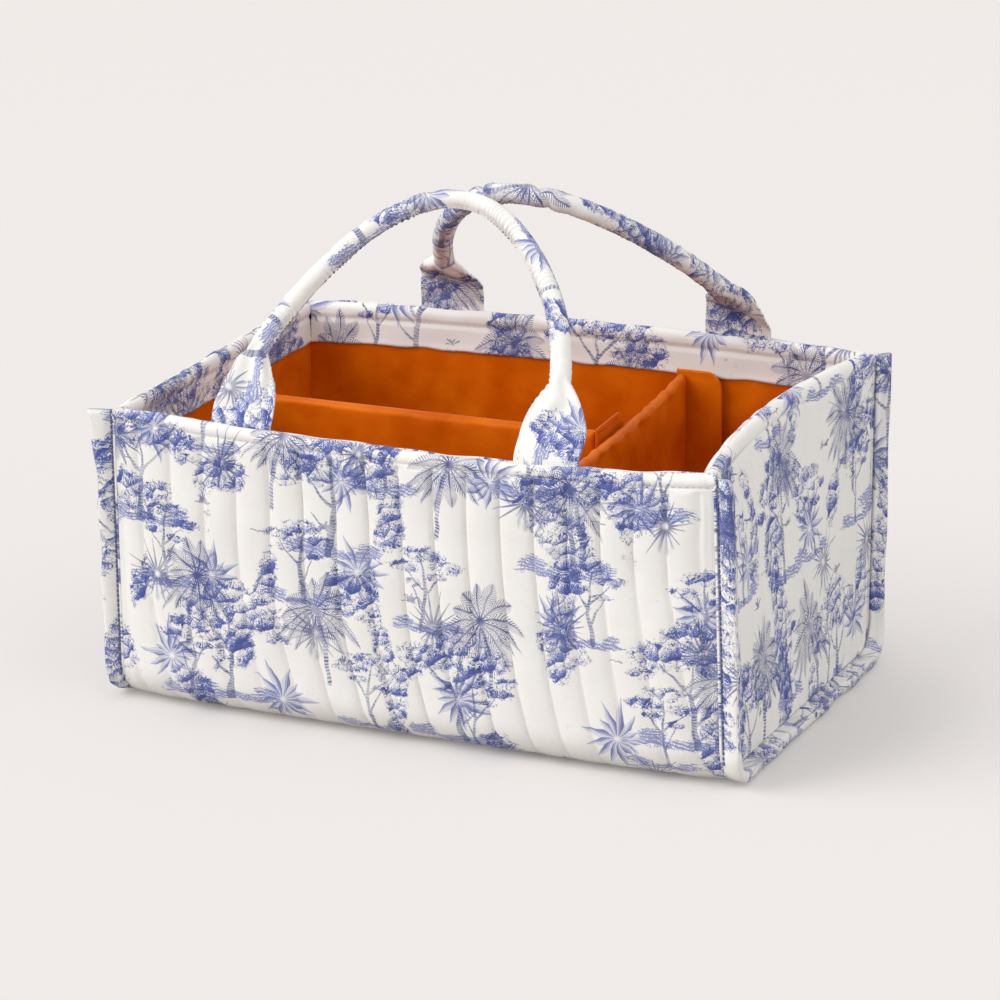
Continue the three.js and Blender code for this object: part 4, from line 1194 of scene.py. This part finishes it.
def handlePiece(name, spec, line, sizes):
    stations, total, x, y, dirX, dirY = line
    foot, wide, thick, tube, gather = (part[:, None] for part in sizes)
    columns = handle["around"]
    angle = np.linspace(0, 2 * math.pi, columns + 1)[None, :]
    c, s = np.cos(angle), np.sin(angle)
    far = stations[:, None]
    flat = 1 - tube
    bumps = handleCreases(spec, far, angle, total) * tube
    folds = np.sin(5 * angle + far * 0.09 + 0.8 * waves(far, angle * 4, 21, spec["seed"] + 6))
    folded = gather * folds * (0.35 + 0.65 * np.abs(s) ** 0.5)
    n = (wide + bumps + 0.4 * folded) * c
    w = (thick + bumps + folded) * np.sign(s) * np.abs(s) ** (0.22 * flat + tube)
    w = w * (1 - 0.4 * flat * groove(wide - np.abs(n) - handle["hem"], 0.8))
    w = w + flat * 0.55 * waves(n, far, 22, spec["seed"] + 4) * ease(0, 10, foot + spec["hinge"])
    rings = placeHandle(spec, x[:, None] + n * dirY[:, None], y[:, None] - n * dirX[:, None], w)
    around = np.concatenate([0 * far, np.cumsum(np.linalg.norm(np.diff(rings, axis=1), axis=2), axis=1)], 1)
    around = around - spec["anchor"] * around[:, -1:]
    ends = np.repeat(rings[[0, -1]].mean(1, keepdims=True), columns + 1, 1)
    grid = np.concatenate([ends[:1], rings, ends[1:]])
    uv = pairs(around + spec["print"][0], far + spec["print"][1])
    if spec["crossCut"]:
        uv = uv[..., ::-1]
    uv = np.concatenate([uv[:1], uv, uv[-1:]])
    points = grid.reshape(-1, 3)
    faces = outwardFaces(points, gridFaces(len(stations) + 2, columns + 1))
    return weld(makePiece(name, points, faces, uv.reshape(-1, 2), cotton))


def handleSeams(spec, line, sizes):  # the lines sewn down both edges of the tabs and inside the arch
    stations, total, x, y, dirX, dirY = line
    foot, wide, thick = sizes[:3]

    def along(keep, n, w):
        return placeHandle(spec, x[keep] + n * dirY[keep], y[keep] - n * dirX[keep], w)

    lines = []
    for first in (True, False):
        near = (foot > 2 - spec["hinge"]) & (foot < sum(spec["tab"]) / 2 + 9) & ((stations < total / 2) == first)
        for edge in (-1, 1):
            for face in (-1, 1):
                lines.append(along(near, edge * (wide[near] - handle["hem"]), face * thick[near] * 0.72))
    start, beside = handle["seamStart"], handle["seamAside"]
    arch = (stations > start) & (stations < total - start)
    for aside in (beside, -beside):
        lines.append(along(arch, wide[arch] + 0.1, aside + 0 * x[arch]))
    return lines


def bendAtRim(piece, spec):
    middle, _, _, rise = handleFrame(spec)
    tuple((middle - rise * spec["blend"]) * 0.001)
    tuple((middle + rise * spec["blend"]) * 0.001)
    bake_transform(piece)


for key, spec in handles.items():
    line = handleLine(key, spec)
    sizes = handleSizes(spec, *line[:2])
    cover = handlePiece(f"handle_cloth_{key}", spec, line, sizes)
    sewn = stitches(f"handle_stitches_{key}", handleSeams(spec, line, sizes), creamThread, None,
                    handle["stitch"])
    bendAtRim(cover, spec)
    bendAtRim(sewn, spec)
    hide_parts(f"handle_{key}_cover", f"handle_{key}_cord",
                f"handle_root_{key}_left", f"handle_root_{key}_right")
print("handles ready")


def basketStitches():
    lines, rim = [], []
    long, end, inner = (rimLook[kind] for kind in ("long", "end", "facing"))
    lining = wallThickness + 0.3 - inner[1]
    for side in (-1, 1):
        x = np.linspace(-halfLength + 5, halfLength - 5, 180)
        y = np.linspace(-halfDepth + 5, halfDepth - 5, 120)
        rim.append(stand(x, side * (halfDepth + 0.15 - long[1]), wallHeight - long[3]))
        rim.append(stand(x[6:-6], side * (halfDepth - lining), wallHeight - inner[3]))
        rim.append(stand(side * (halfLength + 0.15 - end[1]), y, wallHeight - end[3]))
        rim.append(stand(side * (halfLength - lining), y[6:-6], wallHeight - inner[3]))
        for k in range(outer["lines"]):
            z = np.linspace(wallHeight - long[3] - 3, baseRadius, 70)
            x = outer["firstLine"] + k * outer["linePitch"]
            x = x + lineShift(x, side * halfDepth, z)
            keep = np.abs(x) < halfLength - 13
            if keep.sum() > 20:
                lines.append(stand(x[keep], side * (halfDepth + 0.05 - 0.72 * outer["puff"]), z[keep]))
    stitches("basket_stitches", lines, creamThread, "basket", outer["stitch"])
    # the rim stitches take the greyer thread, with its painted shade
    stitches("rim_stitches", rim, shadedRimThread, "basket", outer["rimStitch"])


basketStitches()
print("stitches ready")

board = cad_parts["base_board"]  # the board keeps its own solid
board.data.materials.clear()
board.data.materials.append(greyBoard)


studio = {
    "floorNear": colour(221, 217, 214), "floorFar": colour(217, 212, 209), "floorBounce": colour(194, 190, 186),
    # floorGlow is a glow the camera sees on the floor, weaker beside the basket and stronger away from it: painted
    # light that lifts the cast shadow away from the basket
    "floorGlow": colour(240, 235, 232), "glow": (0.2, 0.6),  # beside the basket, and away from it
    "glowOval": (0.2, 0.135), "floorHalf": 9, "floorDrop": 0.0006,  # in metres
    "world": 0.66, "worldColour": (1, 0.992, 0.985, 1),
    "key": (2.3, (-1.0, -0.8, 0.9), 48),  # strength, where it comes from and its angle
    "fill": (0.85, (1.0, -0.15, 0.6), 80),
    "camera": (0.895025, -2.029429, 0.773929),
    "target": (-0.000576, 0.0, 0.107926),
    "lens": 144.96,
}


def paleFloor(tree):
    point = node(tree, "ShaderNodeTexCoord", out="Object")
    seen = node(tree, "ShaderNodeLightPath", out="Is Camera Ray")
    # the floor is a little darker far away: painted fall-off of the light
    tone = mixColour(length(point).ease(0.4, 5), studio["floorNear"], studio["floorFar"])
    return {"Base Color": mixColour(seen, studio["floorBounce"], tone)}, None


def addFloor():
    mesh, half = bpy.data.meshes.new("floor"), studio["floorHalf"]
    mesh.from_pydata([(-half, -half, 0), (half, -half, 0), (half, half, 0), (-half, half, 0)], [], [(0, 1, 2, 3)])
    floor = bpy.data.objects.new("floor", mesh)
    floor.location.z = -studio["floorDrop"]
    material = newMaterial("paleFloor", paleFloor, {"Roughness": 0.9, "Specular IOR Level": 0.1})
    tree = material.node_tree
    # painted light: the camera sees the floor mixed with the glow, more of it away from the basket, so the cast shadow
    # fades there
    (near, far), (wide, deep) = studio["glow"], studio["glowOval"]
    seen = node(tree, "ShaderNodeLightPath", out="Is Camera Ray")
    beside = length(stretch(node(tree, "ShaderNodeTexCoord", out="Object"), 1 / wide, 1 / deep)).ease(1, 1.7)
    both = node(tree, "ShaderNodeMixShader", {
        0: seen * (beside * (far - near) + near), 1: Num(tree, tree.nodes["Principled BSDF"].outputs[0]),
        2: node(tree, "ShaderNodeEmission", {"Color": studio["floorGlow"]})})
    tree.links.new(both.socket, tree.nodes["Material Output"].inputs["Surface"])
    mesh.materials.append(material)
    scene.collection.objects.link(floor)


def aimed(name, data, way, axis):  # an object with this data that looks the given way
    made = bpy.data.objects.new(name, data)
    made.rotation_mode = "QUATERNION"
    made.rotation_quaternion = Vector(way).to_track_quat(axis, "Y")
    scene.collection.objects.link(made)
    return made


def addSun(name):
    strength, source, angle = studio[name]
    lamp = bpy.data.lights.new(name, "SUN")
    lamp.energy = strength
    lamp.angle = math.radians(angle)
    aimed(name, lamp, source, "Z")


def addWorld():
    world = bpy.data.worlds.new("studio")
    world.use_nodes = True
    background = world.node_tree.nodes["Background"]
    background.inputs["Color"].default_value = studio["worldColour"]
    background.inputs["Strength"].default_value = studio["world"]
    scene.world = world


def addCamera():
    data = bpy.data.cameras.new("camera")
    data.sensor_width = 36
    data.lens = studio["lens"]
    camera = aimed("camera", data, Vector(studio["target"]) - Vector(studio["camera"]), "-Z")
    camera.location = studio["camera"]
    scene.camera = camera


addFloor()
addSun("key")
addSun("fill")
addWorld()
addCamera()
scene.view_settings.view_transform = "Standard"
print("done")
